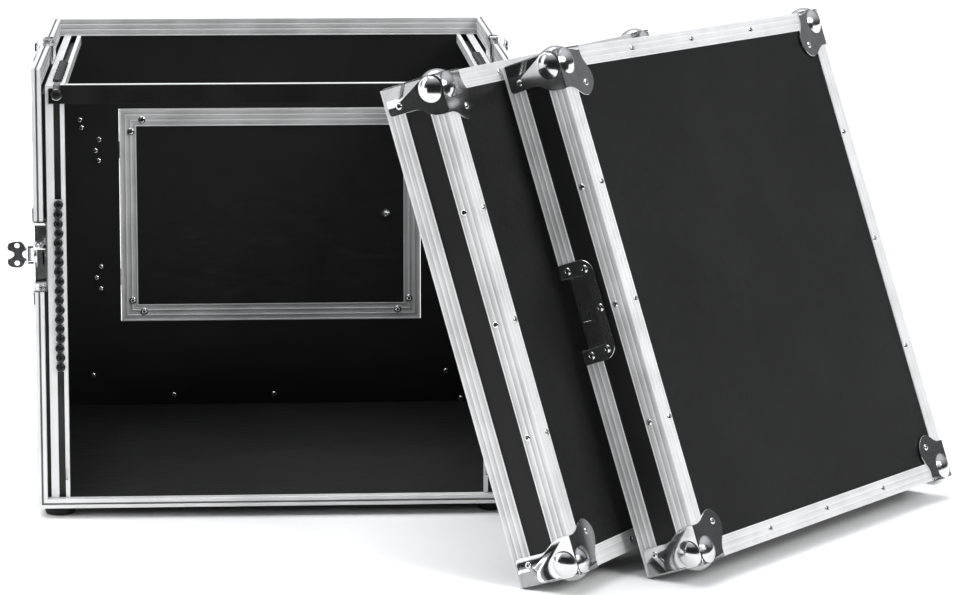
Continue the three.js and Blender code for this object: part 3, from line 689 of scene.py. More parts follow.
def pressed_corner(radius, outlines):
    """A ball and three plates, with a rolled fillet where the ball rises out of each plate."""
    centre, outer = BALL_INSET, BALL_INSET + PLATE
    rows = 24
    latitudes = [-math.pi / 2 + math.pi * (i + 0.5) / rows for i in range(rows)]
    rings = [(radius * math.cos(t), radius * math.sin(t)) for t in latitudes]
    whole = moved(lathe(rings, 48), at(centre, centre, centre) @ turn(37, "X") @ turn(21, "Y"))
    frames = (axes((0, 0, 0), X, Z, Y), axes((0, 0, 0), Z, Y, X), axes((0, 0, 0), X, Y, Z))
    fillet = 3.2
    spread = math.sqrt((radius + fillet) ** 2 - (outer + fillet) ** 2)
    near = math.atan2(outer + fillet, spread)
    roll = [(spread - fillet * math.sin(t), fillet - fillet * math.cos(t))
            for t in [k / 6 * (math.pi / 2 - near) for k in range(7)]]
    ring = [(spread, -0.7)] + roll + [(roll[-1][0] - 2, roll[-1][1] - 0.4), (roll[-1][0] - 2, -0.7)]
    for place, outline in zip(frames, outlines):
        plate = prism(outline, -0.5, PLATE, 0.25)
        whole = combined(whole, moved(plate, place @ Matrix.Scale(-1, 4, Z)), "UNION")
        loops = [[(x, y, -PLATE - h) for x, y in circle(r, 48)] for r, h in ring]
        loops.append(loops[0])
        points, faces = loft(loops, caps=False)
        n = 48 * (len(loops) - 1)
        hoop = (points[:n], [[i % n for i in face] for face in faces])
        hoop = moved(hoop, place @ at(centre, centre, 0))
        keep = moved(block(-PLATE, 80, -PLATE, 80, -40, 40), place)
        whole = combined(whole, combined(hoop, keep, "INTERSECT"), "UNION")
    return combined(whole, block(0.02, 200, 0.02, 200, 0.02, 200), "DIFFERENCE")


def corner_place(corner, signs):
    """Turns distances from a corner's faces into the box's own axes."""
    return axes(corner, X * -signs[0], Y * -signs[1], Z * -signs[2])


def corner_rivets(shape, place, spots):
    """Rivets given as (position on the plate's surface, outward direction), in corner distances."""
    for position, outward in spots:
        outward = Vector(outward)
        first = outward.orthogonal().normalized()
        add_rivet(shape, place @ axes(position, first, outward.cross(first), outward))


COVER_CORNER = pressed_corner(BALL_RADIUS, (ear_outline(), band_outline(), band_outline()))
CASE_CORNER = pressed_corner(REAR_BALL_RADIUS, (ear_outline(), ear_outline(), ear_outline()))


# ---- covers: X across, the face at Y 0 facing -Y, the open side at +Y, Z from -height to 0 ----

COVERS = {
    "front_cover": {
        "width": CASE_HEIGHT, "height": CASE_WIDTH,
        "x": 158.3, "y": -562.4, "yaw": 58.3, "tilt": 18.0,
    },
    "top_cover": {
        "width": CASE_WIDTH, "height": CASE_DEPTH,
        "x": 279.6, "y": -502.6, "yaw": 51.1, "tilt": 19.8,
    },
}
KEEPER_X = TOP - LATCH_HEIGHT
COVER_KEEPERS = {
    "front_cover": {
        "upper": ((KEEPER_X, COVER_DEPTH, 0), Z),
        "lower": ((KEEPER_X, COVER_DEPTH, -CASE_WIDTH), -Z),
    },
    "top_cover": {
        "near": ((0, COVER_DEPTH, -LATCH_FROM_FRONT), -X),
        "far": ((CASE_WIDTH, COVER_DEPTH, -LATCH_FROM_FRONT), X),
    },
}
UPRIGHT_RIVETS = {"front_cover": (140, 256, 373), "top_cover": (140, 263, 387)}
LEVEL_RIVETS = {"front_cover": (124, 239, 354), "top_cover": (137, 252, 372)}


def cover_place(name):
    size = COVERS[name]
    tilt = math.radians(size["tilt"])
    lift = (PLATE + size["height"]) * math.cos(tilt) + COVER_DEPTH * math.sin(tilt)
    return at(size["x"], size["y"], FLOOR + lift) @ turn(size["yaw"], "Z") @ turn(-size["tilt"], "X")


def cover_rivets(shape, place, name):
    """Rivets through both legs of the angles."""
    width, height = COVERS[name]["width"], COVERS[name]["height"]
    for x, outward in ((0, -X), (width, X)):
        for u in UPRIGHT_RIVETS[name]:
            add_rivet(shape, place @ facing((x, 15, -u), outward), finish=2)
            add_rivet(shape, place @ facing((x - outward.x * 15, 0, -u), -Y), finish=2)
    for z, outward in ((0, Z), (-height, -Z)):
        for v in LEVEL_RIVETS[name]:
            add_rivet(shape, place @ facing((v, 15, z), outward), finish=2)
            add_rivet(shape, place @ facing((v, 0, z - outward.z * 10.5), -Y), finish=2)


def cover_corners(name, place):
    width, height = COVERS[name]["width"], COVERS[name]["height"]
    corners = Shape()
    spots = [
        ((36, -PLATE, 37.5), (0, -1, 0)),
        ((-PLATE, 53, 20), (-1, 0, 0)),
        ((20, 53, -PLATE), (0, 0, -1)),
    ]
    for x, sx in ((0, -1), (width, 1)):
        for z, sz in ((-height, -1), (0, 1)):
            corner = place @ corner_place((x, 0, z), (sx, -1, sz))
            corners.add(COVER_CORNER, corner)
            corner_rivets(corners, corner, spots)
    corners.piece(f"{name}_corners", name, [ZINC, HOLE_SHADE], f"{name}_frame")


def covers():
    for name, size in COVERS.items():
        place, width, height = cover_place(name), size["width"], size["height"]
        gap = DISH_GAP
        levels = [(KEEPER_X, gap)] if name == "front_cover" else []
        uprights = [(height - LATCH_FROM_FRONT, gap)] if name == "top_cover" else []
        edging = Shape()
        rim = place @ at(0, COVER_DEPTH, 0)
        surround(edging, frame_profile(12, 0), rim, width, height, -Y, uprights, levels)
        surround(edging, angle_profile(20, FLANGE), place, width, height, Y)
        cover_rivets(edging, place, name)
        edging.piece(f"{name}_edging", name, [ALUMINIUM, HOLE_SHADE, ZINC], f"{name}_frame")
        cover_corners(name, place)
        for end, (origin, outward) in COVER_KEEPERS[name].items():
            keeper = Shape()
            local = place @ axes(origin, outward, Y, outward.cross(Y))
            add_dish(keeper, local)
            keeper.add(catch_lip(), local)
            keeper.piece(f"{name}_keeper_{end}_dish", name, [ZINC, HOLE_SHADE], f"{name}_keeper_{end}")


# ---- latch dishes: X outward from the wall, Y over the open edge, Z along the edge ----


def around(half, reach, corner):
    """A U in (Z, Y), down one side, round two corners and up the other."""
    corner = max(corner, 0.5)
    left = arc(corner - half, corner - reach, corner, 180, 270, 8)
    right = arc(half - corner, corner - reach, corner, 270, 360, 8)
    return [(-half, 0.0)] + left + right + [(half, 0.0)]


def pressed_dish():
    """A flange on the wall and a cup sunk into it, both open over the edge."""
    half, cup = DISH_LENGTH / 2, DISH_OPENING / 2
    rim = ((0, GAP), (0, 0.9), (0.3, PLATE))
    levels = [(half - d, DISH_REACH - d, FLANGE_CORNER - d, x) for d, x in rim]
    front = [(-1.6, PLATE), (-0.9, 1.12), (0.1, 0.9), (0.8, 0.35), (1, -0.6), (1.3, 2.6 - CUP_DEPTH)]
    front += [(1.9, 1.6 - CUP_DEPTH), (3.2, 1 - CUP_DEPTH)]
    back = [(2.6, -CUP_DEPTH), (0.6, 0.6 - CUP_DEPTH), (0, 2 - CUP_DEPTH), (0, GAP)]
    levels += [(cup - d, CUP_REACH - d, CUP_CORNER - d, x) for d, x in front + back]
    loops = [[(x, y, z) for z, y in around(h, reach, corner)] for h, reach, corner, x in levels]
    loops.append(loops[0])
    n, floor = len(loops[0]), 3 + len(front) - 1
    points, faces = loft(loops, closed=False, caps=False)
    kept = [f for k, f in enumerate(faces) if k // (n - 1) != floor]
    total = n * (len(loops) - 1)
    kept = [[i % total for i in f] for f in kept]
    kept.append([floor * n + i for i in range(n)])
    kept.append([(floor + 1) * n + i for i in reversed(range(n))])
    ends = [k * n for k in range(len(loops) - 1)]
    lip = [k for k in ends if k <= floor * n]
    rest = [k for k in ends if k > floor * n]
    kept.append([k + n - 1 for k in lip] + lip[::-1] + rest[::-1] + [k + n - 1 for k in rest])
    return points[:total], kept


DISH_RIVETS = ((-44.5, -9.5), (44.5, -9.5), (-42, -30.5), (42, -30.5), (0, -36.2))


def add_dish(shape, place):
    shape.add(pressed_dish(), place)
    for z, y in DISH_RIVETS:
        add_rivet(shape, place @ facing((PLATE, y, z), X), 4.3, 1.2)


def catch_lip():
    """The folded lip that the claw pulls on."""
    x0, x1 = 0.5 - CUP_DEPTH, -5.5
    side = [(x0, -9.3), (x0, -7.3), (x1 - 1.4, -7.3), (x1 - 0.5, -6.6), (x1, -5.6)]
    side += [(x1, -7.6), (x1 - 0.8, -8.8), (x1 - 2, -9.3)]
    return prism(side, -9.5, 9.5, 0.3)


def latch_places():
    found = {}
    for side, sign in SIDES:
        front = axes((sign * HALF, FRONT, LATCH_HEIGHT), X * sign, -Y, (X * sign).cross(-Y))
        top = axes((sign * HALF, FRONT + LATCH_FROM_FRONT, TOP), X * sign, Z, (X * sign).cross(Z))
        found[f"front_{side}"] = (front, False)
        found[f"top_{side}"] = (top, True)
    return found


def along_x(made):
    """Turns a shape made along Z so that it runs along X."""
    return moved(made, axes((0, 0, 0), Y, Z, X))


def rotor():
    """The turning hub: a washer on the dish, a cam below it and two lugs that hold the wing's pin."""
    shape = Shape()
    cam = [(0, -8.6), (9, -8.6), (9.5, -8.2), (9.5, -6.2)]
    cam += [(11.2, -6.0), (11.6, -5.6), (11.6, -4.5), (11.2, -4.1), (9.5, -3.9), (9.5, -0.8)]
    washer = [(11.5, -0.6), (11.9, -0.2), (11.9, 0.7), (11.4, 1.1), (8.6, 1.3), (0, 1.3)]
    shape.add(along_x(lathe(cam + washer, 40)), at(0, ROTOR_Y, 0))
    spigot = [(0, -12.4), (2.6, -12.4), (3, -12), (3, -8), (0, -8)]
    shape.add(along_x(lathe(spigot, 20)), at(0, ROTOR_Y, 0))
    lug = [(0, -3.8), (WING_AXIS, -3.2)] + arc(WING_AXIS, 0, 3.2, -80, 80, 8) + [(WING_AXIS, 3.2), (0, 3.8)]
    for low in (-9.8, 7.3):
        shape.add(prism(lug, low, low + 2.5, 0.25), at(0, ROTOR_Y, 0))
    head = [(0, -0.2), (2.4, -0.2), (2.4, 0.3), (1.8, 0.7), (0, 0.85)]
    shape.add(lathe(head, 16), at(WING_AXIS, ROTOR_Y, 9.6))
    shape.add(lathe(head, 16), at(WING_AXIS, ROTOR_Y, -9.6) @ turn(180, "X"))
    return shape


def quadratic(start, control, end, steps=7):
    """Points of a curve that leaves the start towards the control point; the start is left out."""
    found = []
    for i in range(1, steps + 1):
        t = i / steps
        parts = zip(start, control, end)
        found.append(tuple((1 - t) ** 2 * a + 2 * t * (1 - t) * c + t * t * b for a, c, b in parts))
    return found


def wing_outline():
    """The butterfly in (X, Z): two lobes, a notch between their tips and a bay at the root."""
    a = WING_AXIS
    upper = quadratic((13.5, 0), (13.5, 4), (a + 2.4, 4.2), 5) + [(a - 1.5, 4.2), (a - 1.5, 7), (a + 3.4, 7)]
    upper += quadratic((a + 3.4, 7), (a + 6, 14.5), (18.5, 14.5))
    upper += quadratic((18.5, 14.5), (29.5, 14.5), (29.5, 7.5))
    upper += quadratic((29.5, 7.5), (29.5, 4.5), (26, 3.6), 4)
    upper += quadratic((26, 3.6), (22.4, 2.6), (22.2, 0), 4)
    return [(13.5, 0)] + upper[:-1] + [(22.2, 0)] + [(x, -z) for x, z in reversed(upper[:-1])]


def wing():
    """The fold-up butterfly wing, with a finger hole in each lobe and its barrel on the pin."""
    outline = wing_outline()
    flat = axes((0, ROTOR_Y, 0), X, Z, Y)
    plate = moved(prism(outline, -1.2, 1.2, 0.3), flat)
    for z in (-9.5, 9.5):
        cutter = moved(rod(2.9, -3, 3, 24), flat @ at(19, z, 0))
        plate = combined(plate, cutter, "DIFFERENCE")
    shape = Shape().add(plate)
    barrel = [(0, -7.1), (2.6, -7.1), (2.9, -6.8), (2.9, 6.8), (2.6, 7.1), (0, 7.1)]
    shape.add(lathe(barrel, 20), at(WING_AXIS, ROTOR_Y, 0))
    shape.add(rod(1.4, -9.7, 9.7, 12), at(WING_AXIS, ROTOR_Y, 0))
    return shape


def hook():
    """The sliding plate under the rotor, slotted, with its claw turned outward."""
    plate = prism(rounded(-29.5, 5.5, -9.5, 9.5, 2.4), -11, -9, 0.3)
    slot = prism(rounded(ROTOR_Y - HOOK_TRAVEL - 3.3, ROTOR_Y + 3.3, -3.3, 3.3, 3.2), -14, -8)
    sheet = axes((0, 0, 0), Y, Z, X)
    shape = Shape().add(moved(combined(plate, slot, "DIFFERENCE"), sheet))
    claw = [(-12.5, 3.5), (-3.6, 3.5), (-3, 4.1), (-3, 5.2), (-3.4, 5.5), (-12.5, 5.5)]
    return shape.add(prism(claw, -9.5, 9.5, 0.3))


def latches():
    rotor_shape, wing_shape, hook_shape = rotor(), wing(), hook()
    for name, (place, folded) in latch_places().items():
        base = Shape()
        add_dish(base, place)
        base.piece(f"dish_{name}", "case", [ZINC, HOLE_SHADE], f"latch_dish_{name}")
        pin = at(WING_AXIS, ROTOR_Y, 0)
        folding = place @ pin @ turn(90 if folded else 0, "Z") @ pin.inverted()
        for part, shape, label, spot in (
            ("rotor", rotor_shape, "rotor_hub", place),
            ("hook", hook_shape, "hook_plate", place),
            ("wing", wing_shape, "butterfly", folding),
        ):
            made = shape.placed(spot)
            made.piece(f"{label}_{name}", f"{part}_{name}", [ZINC], f"latch_{part}_{name}")


# ---- rack rails with their nuts and screws ----

SLOT_S = INNER - SLOT_CENTRE
RAIL_BOTTOM = BOTTOM + EDGE_WIDTH + GAP
RAIL_REAR = INSIDE_FACE - 1
ROW_MIDDLE = 240.5  # height of the front rows' middle
TOP_ROW_STARTS = {"left": -232, "right": -166}


def rail_profile(kind="whole"):
    """T slot section in (inward from the wall, back from the rail's face); the slot's inside and the leg by
    the wall carry painted shade.
    """
    slot = SLOT_S
    # Painted shade, near black, for the slot's inside and the leg in the gap by the wall.
    recess_shade = 3.2
    face = [(5.5, 0.2), (5.7, 0), (slot - 3.7, 0), (slot - 3.5, 0.2), (slot - 3.5, 0.8, recess_shade)]
    face += [(slot - 3.5, 2.5, recess_shade), (slot - 5.6, 2.5, recess_shade), (slot - 5.6, 8, recess_shade)]
    face += [(slot + 5.6, 8, recess_shade), (slot + 5.6, 2.5, recess_shade)]
    face += [(slot + 3.5, 2.5, recess_shade), (slot + 3.5, 0.8, recess_shade)]
    if kind == "notched":
        face += [(slot + 3.5, 2.3), (slot + 6, 2.3), (slot + 6, 0.1), (slot + 6.1, 0)]
    else:
        face += [(slot + 3.5, 0.2), (slot + 3.7, 0)]
    face += [(slot + 7.8, 0), (slot + 8, 0.2), (slot + 8, 10)]
    if kind == "open":
        return face + [(5.5, 10, recess_shade), (5.5, 1.5, recess_shade)]
    legs = [(9, 10), (9, 12), (2.3, 12), (2.3, 32), (GAP, 32), (GAP, 10, recess_shade), (5.5, 10, recess_shade)]
    return face + legs + [(5.5, 1.5, recess_shade)]


def rails():
    clear = DISH_OPENING / 2 + 1.5
    whole, notched, opened = rail_profile(), rail_profile("notched"), rail_profile("open")
    for side, sign in SIDES:
        inward = X * -sign
        front, top = Shape(), Shape()
        upright = axes((sign * INNER, RAIL_FRONT, 0), inward, Y, Z)
        front.add(bar(whole, RAIL_BOTTOM, 28), upright)
        front.add(bar(notched, 28, 40), upright)
        front.add(bar(whole, 40, LATCH_HEIGHT - clear), upright)
        front.add(bar(opened, LATCH_HEIGHT - clear, LATCH_HEIGHT + clear), upright)
        front.add(bar(whole, LATCH_HEIGHT + clear, RACK_HEIGHT - GAP, ("", "b")), upright)
        level = axes((sign * INNER, 0, RACK_HEIGHT), inward, -Z, Y)
        middle = FRONT + LATCH_FROM_FRONT
        top.add(bar(whole, RAIL_FRONT + GAP, middle - clear, ("b", "")), level)
        top.add(bar(opened, middle - clear, middle + clear), level)
        top.add(bar(whole, middle + clear, RAIL_REAR), level)
        front.piece(f"front_rack_rail_{side}", "case", [ALUMINIUM], f"front_rail_{side}")
        top.piece(f"top_rack_rail_{side}", "case", [ALUMINIUM], f"top_rail_{side}")


def screw_row(place, seed):
    """Square nuts side by side with a screw in each. Runs along Z; Y is into the rail."""
    row = Shape()
    outward = axes((0, 0, 0), X, Z, -Y)
    for i in range(NUT_COUNT):
        middle = (i + 0.5) * NUT_PITCH
        sway = 0.45 * math.sin(2.3 * i + seed)
        row.add(block(-5, 5, 3, 7.4, middle - 4.9, middle + 4.9, 0.3), place, 1)
        row.add(block(-3.2, 3.2, -0.7, 3.1, middle - 4.9, middle + 4.9, 0.3), place, 1)
        row.add(rod(2.6, -1, 4.7, 12), place @ at(sway, 3.4, middle) @ outward)
        head = screw_head(5.0, 3.4, 25 * math.sin(5.1 * i + seed))
        row.add(head, place @ at(sway, -1.2, middle) @ outward)
    return row


def screw_rows():
    low = ROW_MIDDLE - NUT_COUNT * NUT_PITCH / 2
    for side, sign in SIDES:
        upright = at(sign * SLOT_CENTRE, RAIL_FRONT, low)
        level = axes((sign * SLOT_CENTRE, TOP_ROW_STARTS[side], RACK_HEIGHT), X, -Z, Y)
        for where, place, seed in (("front", upright, 1.3), ("top", level, 4.1)):
            row, body = screw_row(place, seed + sign), f"{where}_screw_row_{side}"
            row.piece(f"{where}_screws_{side}", body, [BLACK_ZINC, ALUMINIUM], f"{where}_nuts_{side}")


# ---- cross bar ----

BAR_FACE = RAIL_FRONT - GAP - 2.5
BAR_LOW, BAR_SCREW = 437.5, 447.5


def cross_bar():
    """A flat bar over the front with a narrower upper edge and a lip turned back."""
    outline = rounded(-241, 241, BAR_LOW, 454, 0.8, 2)
    flat = axes((0, BAR_FACE + 2.5, 0), X, Z, -Y)
    shape = Shape().add(prism(outline, 0, 2.5, 0.35), flat)
    shape.add(prism(rounded(-229, 229, 446, 457.5, 1.2, 3), 0.02, 2.48, 0.35), flat)
    lip = [(BAR_FACE + 1, 455), (BAR_FACE + 15, 455), (BAR_FACE + 15, 457.1), (BAR_FACE + 14.6, 457.5)]
    lip += [(BAR_FACE + 0.9, 457.5), (BAR_FACE + 0.3, 457.1)]
    shape.add(prism(lip, -223.5, 223.5, 0.3), axes((0, 0, 0), Y, Z, X), 1)
    shape.piece("cross_bar_plate", "case", [GLOSS, ALUMINIUM], "cross_bar")
    for side, sign in SIDES:
        screw = Shape()
        seat = axes((sign * SLOT_CENTRE, BAR_FACE - GAP, BAR_SCREW), X, Z, -Y)
        washer = [(0, 0), (6.3, 0), (6.4, 0.4), (6.3, 1.3), (6.0, 1.9), (5.6, 2.0), (5.3, 1.8), (0, 1.8)]
        screw.add(lathe(washer, 32), seat, 1)
        screw.add(screw_head(5.3, 1.9, 20 * sign), seat @ at(0, 0, 1.6))
        screw.piece(f"bar_screw_{side}", "case", [BLACK_ZINC, ZINC], f"cross_bar_screw_{side}")


# ---- feet ----


def feet():
    """Moulded rubber feet, rounded below, with the recess of their fixing screw."""
    for end, y, dx in (("front", -240, 0), ("rear", 228, -10)):
        for side, sign in SIDES:
            r, top = FOOT_RADIUS, BOTTOM - PLATE - GAP
            profile = [(0, FLOOR + 5), (5.4, FLOOR + 5), (6, FLOOR + 0.6), (6.6, FLOOR), (r - 3.4, FLOOR)]
            profile += [(r - 2, FLOOR + 0.6), (r - 1.2, FLOOR + 1.8)]
            profile += [(r - 0.3, top - 1.2), (r - 0.3, top - 0.3), (r - 0.8, top), (0, top)]
            foot = Shape().add(lathe(profile, 48), at(sign * (236 + dx), y, 0))
            foot.piece(f"rubber_foot_{end}_{side}", "case", [RUBBER], f"foot_{end}_{side}")


# ---- rear access door ----

DOOR_HALF, DOOR_LOW, DOOR_HIGH = 180.5, 110.5, 367.5
PIN_X, PIN_Y = -185.5, REAR + 3
HINGES = {"upper": 318, "lower": 163}
HINGE_HALF, KNUCKLE = 23, 10
CATCH_X, CATCH_Z = 139, 240


def hinge_leaf(shape, z, side, finish=0):
    """A leaf on one side of the pin, with its three rivets."""
    ends = sorted((PIN_X + side * 4.6, PIN_X + side * 32))
    leaf = prism(rounded(*ends, z - HINGE_HALF, z + HINGE_HALF, 3), 0, SKIN, 0.3)
    shape.add(leaf, axes((0, WALL_FACE, 0), X, Z, Y), finish)
    for x, dz in ((14, -15), (22, 0), (14, 15)):
        add_rivet(shape, facing((PIN_X + side * x, WALL_FACE + SKIN, z + dz), Y), 3.2, 1)


def door_frame():
    """The ridged angle round the door, its corner rivets and the door halves of the hinges."""
    shape = Shape()
    profile = angle_profile(20, PLY + SKIN, 0.9)
    front = WALL_FACE - PLY - SKIN
    surround(shape, profile, at(-DOOR_HALF, front, DOOR_HIGH), 2 * DOOR_HALF, DOOR_HIGH - DOOR_LOW, Y)
    for x, level in ((153.5, 355), (153.5, 122), (167, 341), (167, 135.5)):
        for sign in (-1, 1):
            add_rivet(shape, facing((sign * x, front, level), -Y), 4.5, 1.4, 2)
    for z in HINGES.values():
        hinge_leaf(shape, z, 1, 2)
        low, high = z - KNUCKLE, z + KNUCKLE
        hub = [(2.3, low), (4, low), (4, high), (2.3, high), (2.3, low)]
        shape.add(lathe(hub, 24), at(PIN_X, PIN_Y, 0), 2)
        shape.add(block(PIN_X, PIN_X + 6, WALL_FACE, WALL_FACE + SKIN, low, high, 0.1), Matrix(), 2)
    return shape


def door_catch():
    """A knob and bar outside on a shaft, with a round head showing inside."""
    shape = Shape()
    inside = axes((CATCH_X, 0, CATCH_Z), X, Z, -Y)
    face = PLY - WALL_FACE
    head = [(0, face - 2), (5.4, face - 2), (5.5, face + 0.6), (5.2, face + 1.2)]
    head += [(4.4, face + 1.5), (3.3, face + 1.2), (2.7, face + 0.3), (0, face + 0.1)]
    shape.add(lathe(head, 32), inside)
    outside = axes((CATCH_X, 0, CATCH_Z), X, -Z, Y)
    w = WALL_FACE
    shape.add(rod(3.6, w - PLY, w + 2, 20), outside)
    knob = [(0, w + 3), (10, w + 3), (10, w + 4), (9.4, w + 5), (8.6, w + 8), (8, w + 8.8)]
    knob += [(7, w + 9), (3, w + 8.4), (0, w + 8.2)]
    shape.add(lathe(knob, 36), outside)
    arm = prism(rounded(-6, 6, -51, 9, 5.5, 6), 0, 3.2, 0.4)
    shape.add(arm, axes((CATCH_X, WALL_FACE + GAP, CATCH_Z), X, Z, Y))
    return shape


def catch_bracket():
    """The folded strip that the bar turns in behind."""
    w = WALL_FACE
    side = [(w + GAP, 24), (w + GAP, 8), (w + 5, 8), (w + 5, -7), (w + 6.5, -7)]
    side += [(w + 6.5, 9), (w + 6, 9.5), (w + 1.5, 9.5), (w + 1.5, 24)]
    shape = Shape().add(prism(side, 185, 200, 0.25), axes((0, 0, CATCH_Z), Y, Z, X))
    add_rivet(shape, facing((192.5, w + 1.5, CATCH_Z + 16.5), Y), 3.2, 1)
    return shape


def hinge(z):
    """The wall half of a hinge with its pin."""
    shape = Shape()
    hinge_leaf(shape, z, -1)
    for low, high in ((-HINGE_HALF, -KNUCKLE - GAP), (KNUCKLE + GAP, HINGE_HALF)):
        hub = [(0, z + low), (3.7, z + low), (4, z + low + 0.3)]
        hub += [(4, z + high - 0.3), (3.7, z + high), (0, z + high)]
        shape.add(lathe(hub, 24), at(PIN_X, PIN_Y, 0))
        shape.add(block(PIN_X - 6, PIN_X, WALL_FACE, WALL_FACE + SKIN, z + low, z + high, 0.1))
    return shape.add(rod(2.1, z - HINGE_HALF, z + HINGE_HALF, 16), at(PIN_X, PIN_Y, 0))


def rear_door():
    door_frame().piece("door_surround", "door", [ALUMINIUM, HOLE_SHADE, ZINC], "door_frame")
    door_catch().piece("door_knob", "door_catch", [ZINC], "door_catch")
    catch_bracket().piece("door_keeper", "case", [ZINC, HOLE_SHADE], "door_catch_bracket")
    for level, z in HINGES.items():
        hinge(z).piece(f"hinge_{level}", "case", [ZINC, HOLE_SHADE], f"door_hinge_{level}")


WALL_RIVETS = (
    (-205, 331), (-209.6, 317.7), (-206, 305.5), (-204.8, 176.5), (-210.4, 163.1), (-205.2, 149.6),
    (-216, 43), (212, 44.6), (-118.7, 18.3), (2.6, 18.2), (230.6, 10.4), (-228, 355), (-226, 345.6),
)


def wall_rivets():
    """The ends of the rivets that come through the rear wall."""
    shape = Shape()
    for x, z in WALL_RIVETS:
        add_rivet(shape, facing((x, INSIDE_FACE, z), -Y), 3.4, 1.2)
    shape.piece("rear_wall_rivets", "case", [ZINC, HOLE_SHADE])


def case_rivets():
    """Rivets through the outer flanges of the edging on the case's sides and back."""
    shape = Shape()
    for _, sign in SIDES:
        outward = X * sign
        face = sign * HALF
        for z in (60, 150, 400):
            add_rivet(shape, facing((face, FRONT + 14, z), outward))
        for y in (-190, -80, 70, 190):
            add_rivet(shape, facing((face, y, TOP - 14), outward))
            add_rivet(shape, facing((face, y, BOTTOM + 14), outward))
        for z in (90, 200, 310, 410):
            add_rivet(shape, facing((face, REAR - 14, z), outward))
            add_rivet(shape, facing((face - sign * 14, REAR, z), Y))
    for x in (-160, -55, 55, 160):
        add_rivet(shape, facing((x, REAR, TOP - 14), Y))
        add_rivet(shape, facing((x, REAR, BOTTOM + 14), Y))
    shape.piece("case_edge_rivets", "case", [ZINC, HOLE_SHADE])


def case_corners():
    shape = Shape()
    spots = [((36, -PLATE, 37.5), (0, -1, 0)), ((-PLATE, 36, 37.5), (-1, 0, 0))]
    for _, sign in SIDES:
        corner = corner_place((sign * HALF, REAR, BOTTOM), (sign, 1, -1))
        shape.add(CASE_CORNER, corner)
        corner_rivets(shape, corner, spots)
    shape.piece("case_ball_corners", "case", [ZINC, HOLE_SHADE], "edge_angles")


# ---- side handles: X outward, Y up the wall, Z along it ----

POCKET_LENGTH, POCKET_HEIGHT, POCKET_DEPTH = 140, 90, 12
BAIL_X, BAIL_Y, BAIL_HALF, GRIP_Y = -5.5, 30, 56, -24
HANDLE_HEIGHT = 262


def pocket_loops(rings):
    """Rounded outlines: how far outside the pocket's mouth, height from the wall, corner radius."""
    half, tall = POCKET_LENGTH / 2, POCKET_HEIGHT / 2
    loops = []
    for out, x, corner in rings:
        outline = rounded(-half - out, half + out, -tall - out, tall + out, corner, 6)
        loops.append([(x, y, z) for z, y in outline])
    return loops


def pocket():
    """A pressed pocket with a rounded rim, and lugs for the bail."""
    half, tall = POCKET_LENGTH / 2, POCKET_HEIGHT / 2
    rim = [(13.7, GAP, 12), (14, 0.8, 12.2), (13.7, 1.4, 12), (13.2, 1.5, 11.8)]
    inside = [(1.6, 1.5, 9), (0.2, 1.2, 8.4), (-0.8, 0.4, 8), (-1.1, -1, 7.6)]
    inside += [(-2.2, -9.6, 7), (-3.4, -10.5, 6), (-5, 0.8 - POCKET_DEPTH, 5)]
    behind = [(-5, 0.1 - POCKET_DEPTH, 5), (-1.6, 0.6 - POCKET_DEPTH, 6), (-0.2, -9, 7), (0, GAP, 8)]
    front, back = pocket_loops(rim + inside), pocket_loops(behind + rim[:1])
    n = len(front[0])
    points, faces = loft(front, caps=False)
    shape = Shape().add((points, faces + [[len(points) - n + i for i in range(n)]]))
    points, faces = loft(back, caps=False)
    shape.add((points, faces + [list(range(n))[::-1]]))
    lug = [(-11.2, -6), (BAIL_X, -4.6)] + arc(BAIL_X, 0, 4.6, -80, 80, 8) + [(BAIL_X, 4.6), (-11.2, 6)]
    for low in (-BAIL_HALF - 8, BAIL_HALF + 4.6):
        shape.add(prism(lug, low, low + 3.4, 0.3), at(0, BAIL_Y, 0))
    for z in (-half - 7, half + 7):
        for y in (-tall - 5, tall + 5):
            add_rivet(shape, facing((1.5, y, z), X), 3.4, 1.1)
    return shape


def bail():
    """A round steel bail with a moulded ribbed grip."""
    shape = Shape()
    path = [(BAIL_X, BAIL_Y + 2, -BAIL_HALF), (BAIL_X, GRIP_Y + 8, -BAIL_HALF)]
    path += [(BAIL_X, GRIP_Y + y, z - BAIL_HALF) for z, y in arc(8, 8, 8, 180, 270)][1:]
    path += [(x, y, -z) for x, y, z in reversed(path)]
    shape.add(tube(path, 3.5, 16))
    for sign, flip in ((-1, 180), (1, 0)):
        shape.add(rod(1.9, 0, 9.6, 16), at(BAIL_X, BAIL_Y, sign * (BAIL_HALF - 2)) @ turn(flip, "X"))
    grip, count = [(0, -44), (4.2, -44)], 22
    for i in range(count + 1):
        z = -43.4 + i * 86.8 / count
        grip += [(4.9, z - 1.2), (5.0, z), (4.9, z + 1.2), (4.5, z + 86.8 / count / 2)]
    shape.add(lathe(grip[:-1] + [(4.2, 44.8), (0, 44.8)], 24), at(BAIL_X, GRIP_Y, 0), 1)
    return shape


def handles():
    pocket_shape, bail_shape = pocket(), bail()
    for side, sign in SIDES:
        outward = X * sign
        place = axes((sign * (HALF - SKIN), 0, HANDLE_HEIGHT), outward, Z, outward.cross(Z))
        shell, handle = pocket_shape.placed(place), bail_shape.placed(place)
        shell.piece(f"pocket_shell_{side}", "case", [POWDER, HOLE_SHADE], f"handle_pocket_{side}")
        handle.piece(f"carry_bail_{side}", f"bail_{side}", [ZINC, RUBBER], f"handle_bail_{side}")


# ---- studio, in metres unless named otherwise ----

CAMERA_SPOT = (-0.05069, -4.43106, 0.93881)
CAMERA_ANGLES = (3.710, 9.701, 0.118)  # degrees to the right, down and round
CAMERA_LENS, CAMERA_SENSOR = 147.10, 36  # millimetres
CARD_CENTRE, CARD_RADIUS, CARD_TOP = (250, -200), 1250, 760  # millimetres
BOARD_HALF, BOARD_THICK = 30000, 10  # millimetres


